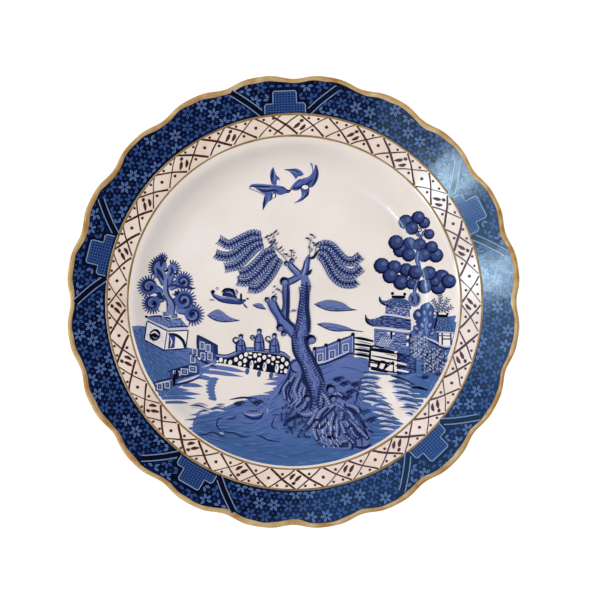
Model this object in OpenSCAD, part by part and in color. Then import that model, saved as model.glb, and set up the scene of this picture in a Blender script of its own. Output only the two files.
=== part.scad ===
// Dinner plate in glazed china: blue printed scene and border, painted lattice band, gilt scalloped edge.
// Origin: centre of the foot ring's underside. +Z is up out of the well, +Y is towards the top of the scene.
// The plate is one fired body. Each applied layer (glaze, print, enamel, gold) is a thin solid set into
// the face of that body, edge to edge with its neighbours, so that no two solids overlap.

/* [Edge] */
// Mean radius of the scalloped edge
edge_r = 133.5; // [130:0.5:137]
// Number of shallow lobes round the edge
lobes = 20; // [16:2:24]
// How far a lobe's crest stands out from the mean radius
lobe_h = 1.3; // [0.6:0.1:2]
// Thickness of the lip, glaze included
lip_t = 3; // [2.6:0.1:3.6]

/* [Well and rim] */
// Radius where the well ends and the rim begins
well_r = 97.5; // [94:0.5:100]
// Height of the well's floor above the table
floor_z = 6; // [5.5:0.5:7.5]
// Radius of the cove where the floor turns up
cove_r = 24; // [18:1:28]
// Steepest slope of the well's wall, in degrees
wall_angle = 38; // [32:1:42]
// Length of the straight part of the wall, measured outwards
wall_run = 3; // [1:0.5:5]
// Radius of the rounded shoulder between wall and rim
shoulder_r = 12; // [8:1:16]
// Slope of the rim, in degrees
rim_angle = 12; // [8:1:15]

/* [Foot] */
// Outer radius of the foot ring where it leaves the back
foot_r = 80; // [78:0.5:84]
// Width of the foot ring at its root
foot_w = 4.4; // [3.6:0.2:6]
// Height of the recess inside the foot ring
recess_z = 2.2; // [1.6:0.1:2.6]
// Thickness of the wall beside the foot ring, glaze included
wall_t = 4; // [3.6:0.1:4.4]

/* [Layers] */
// Thickness of every applied layer
skin = 0.35; // [0.3:0.05:0.5]
// Radius where the painted band ends and the blue border begins
band_r = 111.2; // [109:0.2:114]
// Width of the gilding round the edge
gilt_w = 2.4; // [1.6:0.2:3.2]
// Width of each gilt line
line_w = 0.8; // [0.6:0.1:1.2]

/* [Decoration] */
// Number of diamonds in the painted band
diamonds = 40; // [30:2:48]
// Number of stepped panels in the blue border
panels = 5; // [4:1:6]
// Width of a painted lattice bar
bar_w = 0.6; // [0.4:0.1:1]

/* [Hidden] */

$fn = 64;
arc_step = 4.75;                         // degrees between points on the section's round stretches
edge_points = lobes * 10;                // points round the scalloped outline
tall = 40;                               // height of every cutting prism, clear of the plate's top
far_r = edge_r + 4;                      // radius at which the uncut section ends, outside every lobe
lobe_phase = 180 / lobes;                // angle of the first crest
lobe_shape = 0.23;                       // second harmonic's share: it rounds the crests and sharpens the dips

// Section of the face: floor, cove, wall, shoulder and rim, as points from the axis outwards
wall_r = well_r - shoulder_r * (sin(wall_angle) - sin(rim_angle));
floor_r = wall_r - wall_run - cove_r * sin(wall_angle);
cove_end = [floor_r, floor_z] + cove_r * [sin(wall_angle), 1 - cos(wall_angle)];
wall_end = cove_end + wall_run * [1, tan(wall_angle)];
cove_steps = ceil(wall_angle / arc_step);
shoulder_steps = ceil((wall_angle - rim_angle) / arc_step);
cove = [for (i = [0 : cove_steps]) let (a = wall_angle * i / cove_steps)
    [floor_r, floor_z] + cove_r * [sin(a), 1 - cos(a)]];
shoulder = [for (i = [0 : shoulder_steps]) let (a = wall_angle - (wall_angle - rim_angle) * i / shoulder_steps)
    wall_end + shoulder_r * [sin(wall_angle) - sin(a), cos(a) - cos(wall_angle)]];
rim_end = shoulder[shoulder_steps] + (far_r - well_r) * [1, tan(rim_angle)];
face = concat([[0, floor_z]], cove, shoulder, [rim_end]);

function face_z(r) = lookup(r, face);
function thickness(r) = wall_t + (lip_t - wall_t) * (r - foot_r) / (edge_r - foot_r);
function back_z(r) = face_z(r) - thickness(r);
function reversed(list) = [for (i = [len(list) - 1 : -1 : 0]) list[i]];
function radii(r0, r1) = concat([r0], [for (p = face) if (p[0] > r0 && p[0] < r1) p[0]], [r1]);
function face_line(r0, r1, drop) = [for (r = radii(r0, r1)) [r, face_z(r) - drop]];
function back_line(r0, r1, lift) = [for (r = radii(r0, r1)) [r, back_z(r) + lift]];
function outline_r(a, inset) = edge_r - inset + lobe_h * (cos(lobes * (a - lobe_phase))
    - lobe_shape * cos(2 * lobes * (a - lobe_phase)));

// Upright prism of the scalloped outline, moved in by inset
module outline_prism(inset) {
    linear_extrude(tall)
        polygon([for (i = [0 : edge_points - 1]) let (a = 360 * i / edge_points)
            outline_r(a, inset) * [cos(a), sin(a)]]);
}

// Layer set into the face between two radii
module face_skin(r0, r1) {
    rotate_extrude() polygon(concat(face_line(r0, r1, 0), reversed(face_line(r0, r1, skin))));
}

// Whole thickness of the rim, less a layer on the face and the back
module rim_section(layer) {
    rotate_extrude() polygon(concat(face_line(well_r, far_r, layer), reversed(back_line(well_r, far_r, layer))));
}

// Bar from one point to another, pointed at both ends
module stroke(from, to, w) {
    run = to - from;
    length = norm(run);
    translate(from) rotate(atan2(run[1], run[0]))
        polygon([[-w / 2, 0], [0, -w / 2], [length, -w / 2], [length + w / 2, 0], [length, w / 2], [0, w / 2]]);
}

// ---- The body ----

module china_body() {
    bevel = 0.8;
    taper = 0.6;
    foot_in = foot_r - foot_w;
    color("ivory") intersection() {
        rotate_extrude() polygon(concat(
            face_line(0, far_r, skin),
            reversed(back_line(foot_r, far_r, skin)),
            [[foot_r, back_z(foot_r)], [foot_r - taper, bevel], [foot_r - taper - bevel, 0],
             [foot_in + taper + bevel, 0], [foot_in + taper, bevel], [foot_in, recess_z],
             [foot_in, recess_z + skin], [0, recess_z + skin]]));
        outline_prism(skin);
    }
}

// ---- Glaze ----

module well_glaze() {
    color("whitesmoke") difference() {
        face_skin(0, well_r - line_w / 2);
        scene_prism();
    }
}

module rim_glaze() {
    color("lightsteelblue") intersection() {
        face_skin(band_r + line_w / 2, far_r);
        panel_outlines_prism();
    }
}

module back_glaze() {
    color("whitesmoke") intersection() {
        rotate_extrude() polygon(concat(back_line(foot_r, far_r, 0), reversed(back_line(foot_r, far_r, skin))));
        outline_prism(gilt_w);
    }
}

module foot_recess_glaze() {
    color("whitesmoke") translate([0, 0, recess_z]) cylinder(r = foot_r - foot_w, h = skin);
}

// ---- Blue border ----

// Stepped panel standing on the painted band, drawn along +X; its foot runs in under the band
module panel_shape(inset) {
    foot = band_r - 3;
    crown = [foot, band_r + 13.6 - inset, 6.8 - inset];
    brim = [foot, band_r + 6.4 - inset, 12 - inset];
    for (step = [crown, brim])
        translate([step[0], -step[2]]) square([step[1] - step[0], 2 * step[2]]);
}

module panel_outlines_prism() {
    outline_w = 0.7;
    linear_extrude(tall) for (i = [0 : panels - 1]) rotate(90 + 360 * i / panels) difference() {
        panel_shape(0);
        panel_shape(outline_w);
    }
}

module border_print() {
    color("midnightblue") difference() {
        intersection() {
            face_skin(band_r + line_w / 2, far_r);
            outline_prism(gilt_w);
        }
        panel_outlines_prism();
    }
}

// ---- Painted band ----

module lattice_prism() {
    low = well_r + line_w / 2;
    high = band_r - line_w / 2;
    lean = 180 / diamonds;
    middle = (low + high) / 2;
    linear_extrude(tall) for (i = [0 : diamonds - 1]) rotate(360 * i / diamonds) {
        for (side = [-1, 1])
            stroke(low * [cos(side * lean), -sin(side * lean)], high * [cos(side * lean), sin(side * lean)], bar_w);
        rotate(lean) translate([middle, 0]) circle(d = 1.6);
    }
}

module ivory_band() {
    color("antiquewhite") difference() {
        face_skin(well_r + line_w / 2, band_r - line_w / 2);
        lattice_prism();
    }
}

module lattice_enamel() {
    color("saddlebrown") intersection() {
        face_skin(well_r + line_w / 2, band_r - line_w / 2);
        lattice_prism();
    }
}

// ---- Gilding ----

module gilt_edge() {
    color("goldenrod") difference() {
        intersection() {
            rim_section(0);
            outline_prism(0);
        }
        intersection() {
            rim_section(skin);
            outline_prism(skin);
        }
        outline_prism(gilt_w);
    }
}

module gilt_line_outer() {
    color("darkgoldenrod") face_skin(band_r - line_w / 2, band_r + line_w / 2);
}

module gilt_line_inner() {
    color("darkgoldenrod") face_skin(well_r - line_w / 2, well_r + line_w / 2);
}

// ---- Blue scene in the well ----

// The banks run out under the painted band, and the well's edge cuts them off
module banks() {
    polygon([[-104, -14.5], [-87, -14.5], [-87, -23], [-76, -28], [-62, -26.5], [-57, -28], [-57, -20], [-46, -26],
             [-46, -38], [-56, -46], [-73, -52], [-81, -57], [-90, -62]]);
    polygon([[-66, -81], [-46, -76], [-47, -68], [-30, -66], [-25, -58], [-6, -59], [-10, -48], [-4, -43], [-1, -35],
             [14, -38], [14, -29], [35, -21], [46, -30], [45, -39], [38, -41], [40, -56], [50, -68], [58, -77],
             [66, -90], [30, -106], [-20, -106]]);
    polygon([[58, -42], [66, -46], [72, -51], [80, -54], [76, -62], [72, -69], [84, -72], [106, -27], [88, -26],
             [78, -20], [66, -19], [66, -40]]);
}

module house() {
    polygon([[-88, -9], [-78, -8], [-66, -9], [-62, -14], [-62, -28], [-76, -30], [-89, -24]]);
}

module tea_house() {
    row_drop = 4.2;
    polygon([[43, -8], [46, -10.5], [53, -8], [55, -2.5], [51.5, 3], [54.5, 0.5], [58, 2.5], [58.5, 5.5],
             [66.5, 4.5], [70, -1], [74, -18], [68, -30], [48, -28], [47.5, -14.5]]);
    polygon([[76, -21], [78, 1], [84, 1], [86, -8], [91.5, -8], [95, -17.5], [93, -28]]);
    for (i = [0 : 4]) stroke([36 + 3 * i, -22 - row_drop * i], [50 + 6 * i, -24 - row_drop * i], 2.6);
}

module bridge() {
    arch_w = 2;
    difference() {
        polygon([[-50, -31], [-39, -31.5], [-30, -28], [-20, -27.5], [-10, -29], [-4, -31], [2, -34], [2, -44],
                 [-8, -42.5], [-16, -41], [-27, -39], [-36, -37], [-50, -37]]);
        for (i = [0 : 2]) translate([-26 + 7.6 * i, -50]) square([arch_w, 13.5 - 0.7 * i]);
    }
    for (figure = [[-32, -21.5], [-20.5, -18.5], [-11.5, -20.5]]) stroke([figure[0], -30], figure, 3.6);
}

module willow() {
    polygon([[4.5, 11], [10.3, 10.5], [9, 4], [10, -8], [9.8, -19], [11, -31], [15, -39], [18.5, -48], [16, -56],
             [16, -66], [9, -66], [7, -46], [0.5, -33], [-1.5, -22], [-5, -17.5], [-8, -18], [-10, -14], [-5, -10],
             [1, -16], [3, -10], [3.5, 0]]);
    stroke([-4.5, 12], [-4.5, -12], 3.6);
    stroke([-14, 1], [-5, -12], 4);
    stroke([-5, 12], [5, 14.5], 3.2);
    stroke([4.5, 10], [8, 24], 3.6);
    stroke([8, 24], [10, 29], 3);
    stroke([8, 25], [15, 31], 2.4);
    stroke([5, 14], [-4, 24], 3.4);
    polygon([[-46, 37.5], [-38, 35.5], [-30, 39], [-24, 41], [-19, 39], [-17.5, 34.5], [-25, 28], [-32, 22],
             [-41, 19], [-39, 24], [-47, 28], [-38, 30], [-46, 34]]);
    polygon([[-15, 30], [-10, 29], [-8, 25.5], [-12, 17], [-18, 9], [-25, 6], [-28, 9], [-34, 12], [-31, 16],
             [-24, 22], [-18, 28]]);
    polygon([[13.5, 32], [20, 35], [25, 32], [29, 27], [33, 25], [37, 25], [40, 29], [42, 27], [41, 18], [38, 12],
             [32, 9], [26, 11], [21, 17], [18, 23], [14.5, 28]]);
}

// Three tiers of round tufts on the branches of the tree behind the tea house
module tuft_tree() {
    tuft = 4.2;
    stroke([72.5, 0], [72.5, 20], 4);
    stroke([73, 16], [76.5, 42], 2.6);
    for (tier = [[[52.5, 21.5], [91, 13], 6], [[61, 35.5], [85, 29], 4], [[67, 48], [80, 42], 3]])
        for (i = [0 : tier[2] - 1]) translate(tier[0] + (tier[1] - tier[0]) * i / (tier[2] - 1)) circle(r = tuft);
    for (p = [[58, 15.5], [64, 12], [78, 9], [86, 9], [64, 31], [69.5, 29], [78, 28]]) translate(p) circle(r = tuft);
    stroke([56, 17.5], [88, 11.5], 7);
    stroke([63, 32], [83, 28.5], 6);
}

module lobed_tree() {
    stroke([-74, -8], [-77, 18], 4);
    for (lobe = [[-78.5, 22, 5.6], [-72.5, 19.5, 4.4], [-66, 12, 4.6], [-86, 9, 5], [-83.5, -1, 4.6],
                 [-65.5, 1, 5.6], [-60, -7.5, 5]])
        translate([lobe[0], lobe[1]]) circle(r = lobe[2]);
    stroke([-86, 8], [-74, 6], 4);
    stroke([-84, 0], [-74, -2], 4);
    stroke([-76, 8], [-66, 12], 4);
    stroke([-74, -2], [-65, 1], 4);
    stroke([-74, -6], [-60, -7], 5);
}

module birds() {
    stroke([-24, 69], [-5, 66.5], 4.2);
    stroke([-12, 68], [-12, 79], 3);
    stroke([-14, 67], [-18, 56], 3);
    stroke([0, 68.5], [11, 72], 4.2);
    stroke([11, 71], [13, 80], 3);
    stroke([4, 70], [-3, 78.5], 3);
    stroke([7, 68], [2, 60], 3);
}

module clouds() {
    polygon([[12, -1.3], [20, 1.4], [29, -0.5], [37, -4.8], [30, -5.5], [20, -5.5]]);
    polygon([[14, -13], [22, -12.3], [31, -14.5], [41, -17.8], [30, -17.2], [20, -16.5]]);
    polygon([[-51, -7.5], [-46, -4.7], [-41, -7], [-33, -11], [-42, -12], [-49, -9.5]]);
    polygon([[-50, 6], [-42, 7], [-34, 6], [-26, 0], [-18, -4], [-30, -4], [-42, 1]]);
}

module water() {
    for (i = [0 : 3]) {
        stroke([-74 + 4 * i, -58.5 - 1.6 * i], [-65 + 4 * i, -59.5 - 1.6 * i], 0.9);
        stroke([62 + i, -50.5 - 4 * i], [68 + i, -51.5 - 4 * i], 0.9);
        stroke([-17 + 2 * i, -48 - 3 * i], [-8, -50 - 3 * i], 0.9);
    }
}

module scene_prism() {
    linear_extrude(tall) {
        banks();
        house();
        tea_house();
        bridge();
        willow();
        tuft_tree();
        lobed_tree();
        birds();
        clouds();
        water();
    }
}

module centre_print() {
    color("royalblue") intersection() {
        face_skin(0, well_r - line_w / 2);
        scene_prism();
    }
}

china_body();
well_glaze();
rim_glaze();
back_glaze();
foot_recess_glaze();
centre_print();
border_print();
ivory_band();
lattice_enamel();
gilt_edge();
gilt_line_outer();
gilt_line_inner();
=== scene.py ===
# China dinner plate: white glazed body, blue printed scene and border, painted lattice band and
# gilt scalloped edge.
# Lengths are millimetres until a mesh is written, when they become metres. +Z is up out of the well.
import math
import bpy
import numpy as np
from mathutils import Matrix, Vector


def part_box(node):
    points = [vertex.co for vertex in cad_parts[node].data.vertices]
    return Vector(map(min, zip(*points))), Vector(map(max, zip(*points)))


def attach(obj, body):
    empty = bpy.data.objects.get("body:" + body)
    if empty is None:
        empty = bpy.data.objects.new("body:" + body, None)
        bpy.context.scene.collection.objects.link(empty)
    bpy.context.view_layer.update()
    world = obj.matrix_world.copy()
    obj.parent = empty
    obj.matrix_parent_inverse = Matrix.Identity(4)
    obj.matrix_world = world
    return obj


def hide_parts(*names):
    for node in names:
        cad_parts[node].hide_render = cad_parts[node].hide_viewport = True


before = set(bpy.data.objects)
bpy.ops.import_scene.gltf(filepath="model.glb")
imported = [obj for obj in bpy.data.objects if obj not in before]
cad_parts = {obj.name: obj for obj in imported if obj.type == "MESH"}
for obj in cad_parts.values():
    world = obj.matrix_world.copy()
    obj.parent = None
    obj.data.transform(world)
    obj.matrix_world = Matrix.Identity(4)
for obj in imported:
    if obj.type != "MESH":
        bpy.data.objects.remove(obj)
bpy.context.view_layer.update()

MM = 0.001

# ---- Sizes, shared with the CAD frame ----
edge_r = 133.5           # mean radius of the scalloped edge
lobes = 20               # shallow lobes round the edge
lobe_h = 1.3             # how far a crest stands out
lobe_shape = 0.23        # second harmonic: rounds the crests and sharpens the dips
lip_t = 3.0              # thickness of the lip
wall_t = 4.0             # thickness beside the foot ring
line_w = 0.8             # width of the CAD gilt lines
gilt_w = 2.4             # width of the gilding on the face
skin = 0.35              # thickness of every applied layer
well_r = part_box("gilt_line_inner")[1].x / MM - line_w / 2
band_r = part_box("gilt_line_outer")[1].x / MM - line_w / 2
floor_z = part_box("well_glaze")[0].z / MM + skin
recess_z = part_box("foot_recess_glaze")[0].z / MM
foot_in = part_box("foot_recess_glaze")[1].x / MM
foot_r = foot_in + 4.4
cove_r, wall_run, shoulder_r = 24.0, 3.0, 12.0
wall_slope, rim_slope = math.radians(38), math.radians(12)
wall_end_r = well_r - shoulder_r * (math.sin(wall_slope) - math.sin(rim_slope))
cove_end_r = wall_end_r - wall_run
floor_r = cove_end_r - cove_r * math.sin(wall_slope)
cove_end_z = floor_z + cove_r * (1 - math.cos(wall_slope))
wall_end_z = cove_end_z + wall_run * math.tan(wall_slope)
lip_round = lip_t / 2

# ---- Shape of the plate ----


def face_height(r):
    """Height of the face at radius r: flat floor, cove arc, straight wall, shoulder arc, then the sloping
    rim."""
    cove = floor_z + cove_r - np.sqrt(np.maximum(cove_r ** 2 - (r - floor_r) ** 2, 0))
    wall = cove_end_z + (r - cove_end_r) * math.tan(wall_slope)
    arc_r = wall_end_r + shoulder_r * math.sin(wall_slope)
    arc_z = wall_end_z - shoulder_r * math.cos(wall_slope)
    shoulder = arc_z + np.sqrt(np.maximum(shoulder_r ** 2 - (r - arc_r) ** 2, 0))
    rim_start = arc_z + shoulder_r * math.cos(rim_slope)
    rim = rim_start + (r - well_r) * math.tan(rim_slope)
    return np.select([r < floor_r, r < cove_end_r, r < wall_end_r, r < well_r],
                     [floor_z + 0 * r, cove, wall, shoulder], rim)


def back_height(r):
    """Height of the back: the face less a thickness that falls evenly from the foot ring to the lip."""
    return face_height(r) - (wall_t + (lip_t - wall_t) * (r - foot_r) / (edge_r - foot_r))


def edge_radius(angle):
    """Radius of the scalloped outline: a cosine wave of 20 lobes with a little of its second harmonic."""
    phase = lobes * angle - math.pi
    return edge_r + lobe_h * (np.cos(phase) - lobe_shape * np.cos(2 * phase))


# ---- Meshes from arrays ----


def make_piece(name, points, face_groups, materials, tones=None, crease=40):
    """Writes points (mm) and groups of equal-sided faces into one mesh; edges sharper than crease stay
    sharp."""
    mesh = bpy.data.meshes.new(name)
    corners = np.concatenate([g.ravel() for g in face_groups])
    sides = np.concatenate([np.full(len(g), g.shape[1]) for g in face_groups])
    starts = np.concatenate([[0], np.cumsum(sides)[:-1]])
    mesh.vertices.add(len(points))
    mesh.vertices.foreach_set("co", (np.asarray(points, float) * MM).ravel())
    mesh.loops.add(len(corners))
    mesh.loops.foreach_set("vertex_index", corners.astype(np.int32))
    mesh.polygons.add(len(sides))
    mesh.polygons.foreach_set("loop_start", starts.astype(np.int32))
    mesh.polygons.foreach_set("loop_total", sides.astype(np.int32))
    if tones is not None:
        mesh.polygons.foreach_set("material_index", tones.astype(np.int32))
    mesh.update(calc_edges=True)
    mesh.validate()
    mesh.shade_smooth()
    mesh.set_sharp_from_angle(angle=math.radians(crease))
    for material in materials:
        mesh.materials.append(material)
    piece = bpy.data.objects.new(name, mesh)
    bpy.context.scene.collection.objects.link(piece)
    return piece


def settle(piece, slot, *nodes):
    """Puts a finished piece on the plate's one body and hides the CAD nodes it stands for; slot is not used.
    """
    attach(piece, "root")
    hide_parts(*nodes)


def spun(name, rings, heights, material, crease=40):
    """Closed surface from rings of points: row i has radius rings[i] and height heights[i] at each angle.
    The rows form a closed loop, unless the first and last have no radius: then they close in two poles."""
    turns = rings.shape[1]
    angle = around(turns)
    grid = np.stack([rings * np.cos(angle), rings * np.sin(angle), heights + 0 * rings], -1)
    poles = rings[0, 0] == 0 and rings[-1, 0] == 0
    body = grid[1:-1] if poles else grid
    index = np.arange(body.shape[0] * turns).reshape(body.shape[:2])
    here = index if not poles else index[:-1]
    after = np.roll(index, -1, 0) if not poles else index[1:]
    quads = np.stack([here, np.roll(here, -1, 1), np.roll(after, -1, 1), after], -1).reshape(-1, 4)
    points = body.reshape(-1, 3)
    groups = [quads]
    if poles:
        first, last = len(points), len(points) + 1
        points = np.concatenate([points, grid[0, :1], grid[-1, :1]])
        low, high = index[0], index[-1]
        groups.append(np.stack([0 * low + first, np.roll(low, -1), low], -1))
        groups.append(np.stack([high, np.roll(high, -1), 0 * high + last], -1))
    piece = make_piece(name, points, groups, [material], crease=crease)
    flow = np.sum((rings[:, 0] - np.roll(rings[:, 0], 1)) * (heights[:, 0] + np.roll(heights[:, 0], 1)))
    if flow > 0:
        piece.data.flip_normals()
    return piece


def around(count):
    """Angles in radians, evenly spaced round the plate from +X."""
    return 2 * math.pi * np.arange(count) / count


def steps(start, stop, count):
    """Evenly spaced radii as a column, so that they spread over every angle."""
    return np.linspace(start, stop, count)[:, None]


# ---- Flat printed shapes, laid on the face as thin closed sheets ----
print_step = 0.004       # each shape lies this much above the one printed before it
print_sink = 0.05        # each shape reaches this far into the layer under it
longest_cell = 0.9       # a printed shape on the cove or rim is divided into cells no longer than this
same_tone_step = 0.3     # share of a print_step between shapes of one tone
print_limit = 97.4       # the middle print stops here, short of the ivory band


class Print:
    """Gathers one motif's shapes in the order that they are printed. A shape is a grid of points in plan."""

    def __init__(self, lift, limit=math.inf):
        """Each shape lies a print_step above the one before it, and the first that much above lift; where the
        tone stays the same the step is smaller. Points past the limit radius are drawn in to it."""
        self.lift = lift
        self.limit = limit
        self.last = None
        self.shapes = {}
        self.tones = []

    def add(self, tone, grid):
        """Adds one grid (rows, columns, 2), or an array of them, in one tone."""
        if tone not in self.tones:
            self.tones.append(tone)
        grids = refined(grid.reshape((-1,) + grid.shape[-3:]))
        out = np.hypot(grids[..., 0], grids[..., 1])[..., None]
        grids = grids * np.minimum(1, self.limit / np.maximum(out, 1))
        kept = self.shapes.setdefault(grids.shape[1:3], [])
        self.lift += print_step * (1 if tone != self.last else same_tone_step)
        self.last = tone
        kept.append((grids, self.tones.index(tone), self.lift))

    def line(self, tone, width, *points, tip=0.35, tail=0.35):
        """Brush line through the points: a smooth curve whose width falls to tip at its start and tail at
        its end."""
        count = 3 * len(points)
        path = smooth(np.array(points, float), count)
        t = np.linspace(0, 1, count)
        edge = min(0.5, 3 / count)
        swell = np.minimum(1, np.minimum(tip + (1 - tip) * t / edge, tail + (1 - tail) * (1 - t) / edge))
        self.add(tone, ribbon(path, width * swell))

    def bar(self, tone, width, *points):
        """Square-ended bar through the points, straight between them."""
        self.add(tone, ribbon(np.array(points, float), width))

    def leaf(self, tone, width, *points):
        """Leaf through the points: its width follows a sine from nothing to full and back."""
        t = np.linspace(0.04, 0.96, 7)
        self.add(tone, ribbon(smooth(np.array(points, float), len(t)), width * np.sin(math.pi * t) ** 0.8))

    def patch(self, tone, one_side, other_side, rows=0, columns=4):
        """Sheet ruled between two smooth curves."""
        count = rows or 3 * max(len(one_side), len(other_side))
        a = smooth(np.array(one_side, float), count)
        b = smooth(np.array(other_side, float), count)
        t = np.linspace(0, 1, columns)[None, :, None]
        self.add(tone, a[:, None] * (1 - t) + b[:, None] * t)

    def plank(self, tone, one_side, other_side):
        """Straight-edged sheet ruled between two broken lines with the same number of points."""
        a, b = np.array(one_side, float), np.array(other_side, float)
        self.add(tone, np.stack([a, b], 1))

    def dots(self, tone, size, *places, long=1.0, turn=0.0):
        """Round or oval dots of one diameter, long times as long, turned by an angle in degrees."""
        centres = np.array(places, float).reshape(-1, 1, 1, 2)
        self.add(tone, centres + oval(size, long, turn))

    def fringe(self, tone, width, points, spacing, start, stop, lean=0.0, sides=(-1, 1)):
        """Short strokes standing off a curve, from start to stop beside it, and leaning along it by lean."""
        path = smooth(np.array(points, float), 6 * len(points))
        place, way = along(path, spacing)
        off = np.stack([-way[:, 1], way[:, 0]], -1)
        for side in sides:
            reach = np.linspace(0, 1, 3)[None, :, None]
            stroke = (place[:, None] + side * off[:, None] * (start + (stop - start) * reach)
                      + lean * way[:, None] * reach ** 1.6)
            self.add(tone, ribbon(stroke, width * np.array([1, 1, 0.55])))

    def build(self, name, slot, *nodes):
        """Turns the shapes into one mesh: for each, its top, its underside and the walls between them."""
        all_points, all_faces, all_tones, base = [], [], [], 0
        for (rows, columns), kept in self.shapes.items():
            grids = np.concatenate([g for g, _, _ in kept])
            tone = np.concatenate([np.full(len(g), t) for g, t, _ in kept])
            lift = np.concatenate([np.full(len(g), h) for g, _, h in kept])
            down = grids[:, 1:, :-1] - grids[:, :-1, :-1]
            over = grids[:, :-1, 1:] - grids[:, :-1, :-1]
            turn = (down[..., 0] * over[..., 1] - down[..., 1] * over[..., 0]).sum((1, 2))
            grids = np.where((turn < 0)[:, None, None, None], grids[:, :, ::-1], grids)
            face = face_height(np.hypot(grids[..., 0], grids[..., 1]))
            top = np.concatenate([grids, (face + lift[:, None, None])[..., None]], -1)
            under = np.concatenate([grids, (face - print_sink)[..., None]], -1)
            size = rows * columns
            points = np.stack([top, under], 1).reshape(-1, 3)
            i = np.arange(size).reshape(rows, columns)
            up = np.stack([i[:-1, :-1], i[1:, :-1], i[1:, 1:], i[:-1, 1:]], -1).reshape(-1, 4)
            loop = np.concatenate([i[:, 0], i[-1, 1:], i[-2::-1, -1], i[0, -2:0:-1]])
            after = np.roll(loop, -1)
            walls = np.stack([loop, loop + size, after + size, after], -1)
            faces = np.concatenate([up, up[:, ::-1] + size, walls])
            offsets = base + 2 * size * np.arange(len(grids))
            all_faces.append((faces[None] + offsets[:, None, None]).reshape(-1, 4))
            all_tones.append(np.repeat(tone, len(faces)))
            all_points.append(points)
            base += len(points)
        piece = make_piece(name, np.concatenate(all_points), all_faces,
                           [TONES[t] for t in self.tones], np.concatenate(all_tones))
        settle(piece, slot, *nodes)


def refined(grids):
    """Grids whose cells are too long to follow the cove and rim get more rows and columns, evenly between."""
    if np.hypot(grids[..., 0], grids[..., 1]).max() < floor_r:
        return grids
    for axis in (1, 2):
        gap = np.linalg.norm(np.diff(grids, axis=axis), axis=-1).max()
        cells = grids.shape[axis] - 1
        at = np.linspace(0, cells, cells * int(np.ceil(gap / longest_cell)) + 1)
        low = np.minimum(at.astype(int), cells - 1)
        shape = [1, 1, 1, 1]
        shape[axis] = len(at)
        share = (at - low).reshape(shape)
        grids = np.take(grids, low, axis) * (1 - share) + np.take(grids, low + 1, axis) * share
    return grids


def along(path, spacing):
    """Points evenly spaced along a path, and the path's direction at each."""
    run = np.concatenate([[0], np.cumsum(np.linalg.norm(np.diff(path, axis=0), axis=1))])
    at = np.arange(spacing / 2, run[-1], spacing)
    way = np.gradient(path, axis=0)
    place, direction = (np.stack([np.interp(at, run, v[:, k]) for k in (0, 1)], -1) for v in (path, way))
    return place, direction / np.linalg.norm(direction, axis=1, keepdims=True)


def smooth(points, count):
    """Curve through the points, a cubic between each pair with the slope of the chord round it."""
    if len(points) == 2:
        return points[0] + (points[1] - points[0]) * np.linspace(0, 1, count)[:, None]
    padded = np.concatenate([2 * points[:1] - points[1:2], points, 2 * points[-1:] - points[-2:-1]])
    t = np.linspace(0, len(points) - 1, count)
    i = np.minimum(t.astype(int), len(points) - 2)
    f = (t - i)[:, None]
    before, start, stop, after = padded[i], padded[i + 1], padded[i + 2], padded[i + 3]
    return 0.5 * (2 * start + (stop - before) * f + (2 * before - 5 * start + 4 * stop - after) * f ** 2
                  + (3 * start - before - 3 * stop + after) * f ** 3)


def ribbon(path, width):
    """Sheet along each path (..., n, 2): half its width to each side, at right angles to the path."""
    run = np.gradient(path, axis=-2)
    run = run / np.maximum(np.linalg.norm(run, axis=-1, keepdims=True), 1e-9)
    side = np.stack([-run[..., 1], run[..., 0]], -1)
    half = (0.5 * np.broadcast_to(width, path.shape[:-1]))[..., None]
    return np.stack([path - side * half, path + side * half], -2)


def oval(size, long=1.0, turn=0.0):
    """Grid of an oval about the origin: chords of a circle, the long way stretched, then turned (degrees)."""
    sweep = np.linspace(0.16, math.pi - 0.16, 6)
    x = 0.5 * size * long * np.cos(sweep)
    y = 0.5 * size * np.sin(sweep)
    grid = np.stack([np.stack([x, -y], -1), np.stack([x, y], -1)], 1)
    c, s = math.cos(math.radians(turn)), math.sin(math.radians(turn))
    return grid @ np.array([[c, s], [-s, c]])


def polar(r, degrees):
    """Plan position at radius r and an angle in degrees."""
    a = np.radians(degrees)
    return np.stack([r * np.cos(a), r * np.sin(a)], -1)


def at_angle(points, degrees):
    """Points drawn standing on +X (out, across) turned to an angle."""
    a = math.radians(degrees)
    p = np.asarray(points, float)
    return np.stack([p[..., 0] * math.cos(a) - p[..., 1] * math.sin(a),
                     p[..., 0] * math.sin(a) + p[..., 1] * math.cos(a)], -1)


# ---- Finishes ----


def linear(hex_colour):
    """sRGB hex to linear red, green, blue and full alpha."""
    parts = [int(hex_colour[i:i + 2], 16) / 255 for i in (1, 3, 5)]
    return tuple(c / 12.92 if c <= 0.04045 else ((c + 0.055) / 1.055) ** 2.4 for c in parts) + (1.0,)


def add_node(tree, kind, settings=(), **inputs):
    """Adds a node, sets its properties, and gives each named input a value or a link."""
    node = tree.nodes.new(kind)
    for key, value in dict(settings).items():
        setattr(node, key, value)
    for key, value in inputs.items():
        socket = node.inputs[int(key[1:])] if key[1:].isdigit() else node.inputs[key.replace("_", " ")]
        if isinstance(value, bpy.types.NodeSocket):
            tree.links.new(value, socket)
        else:
            socket.default_value = value
    return node


def new_finish(name):
    """Empty node material with its Principled shader, and Object coordinates for its patterns."""
    material = bpy.data.materials.new(name)
    material.use_nodes = True
    tree = material.node_tree
    shader = tree.nodes["Principled BSDF"]
    place = add_node(tree, "ShaderNodeTexCoord").outputs["Object"]
    return material, tree, shader, place


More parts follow.
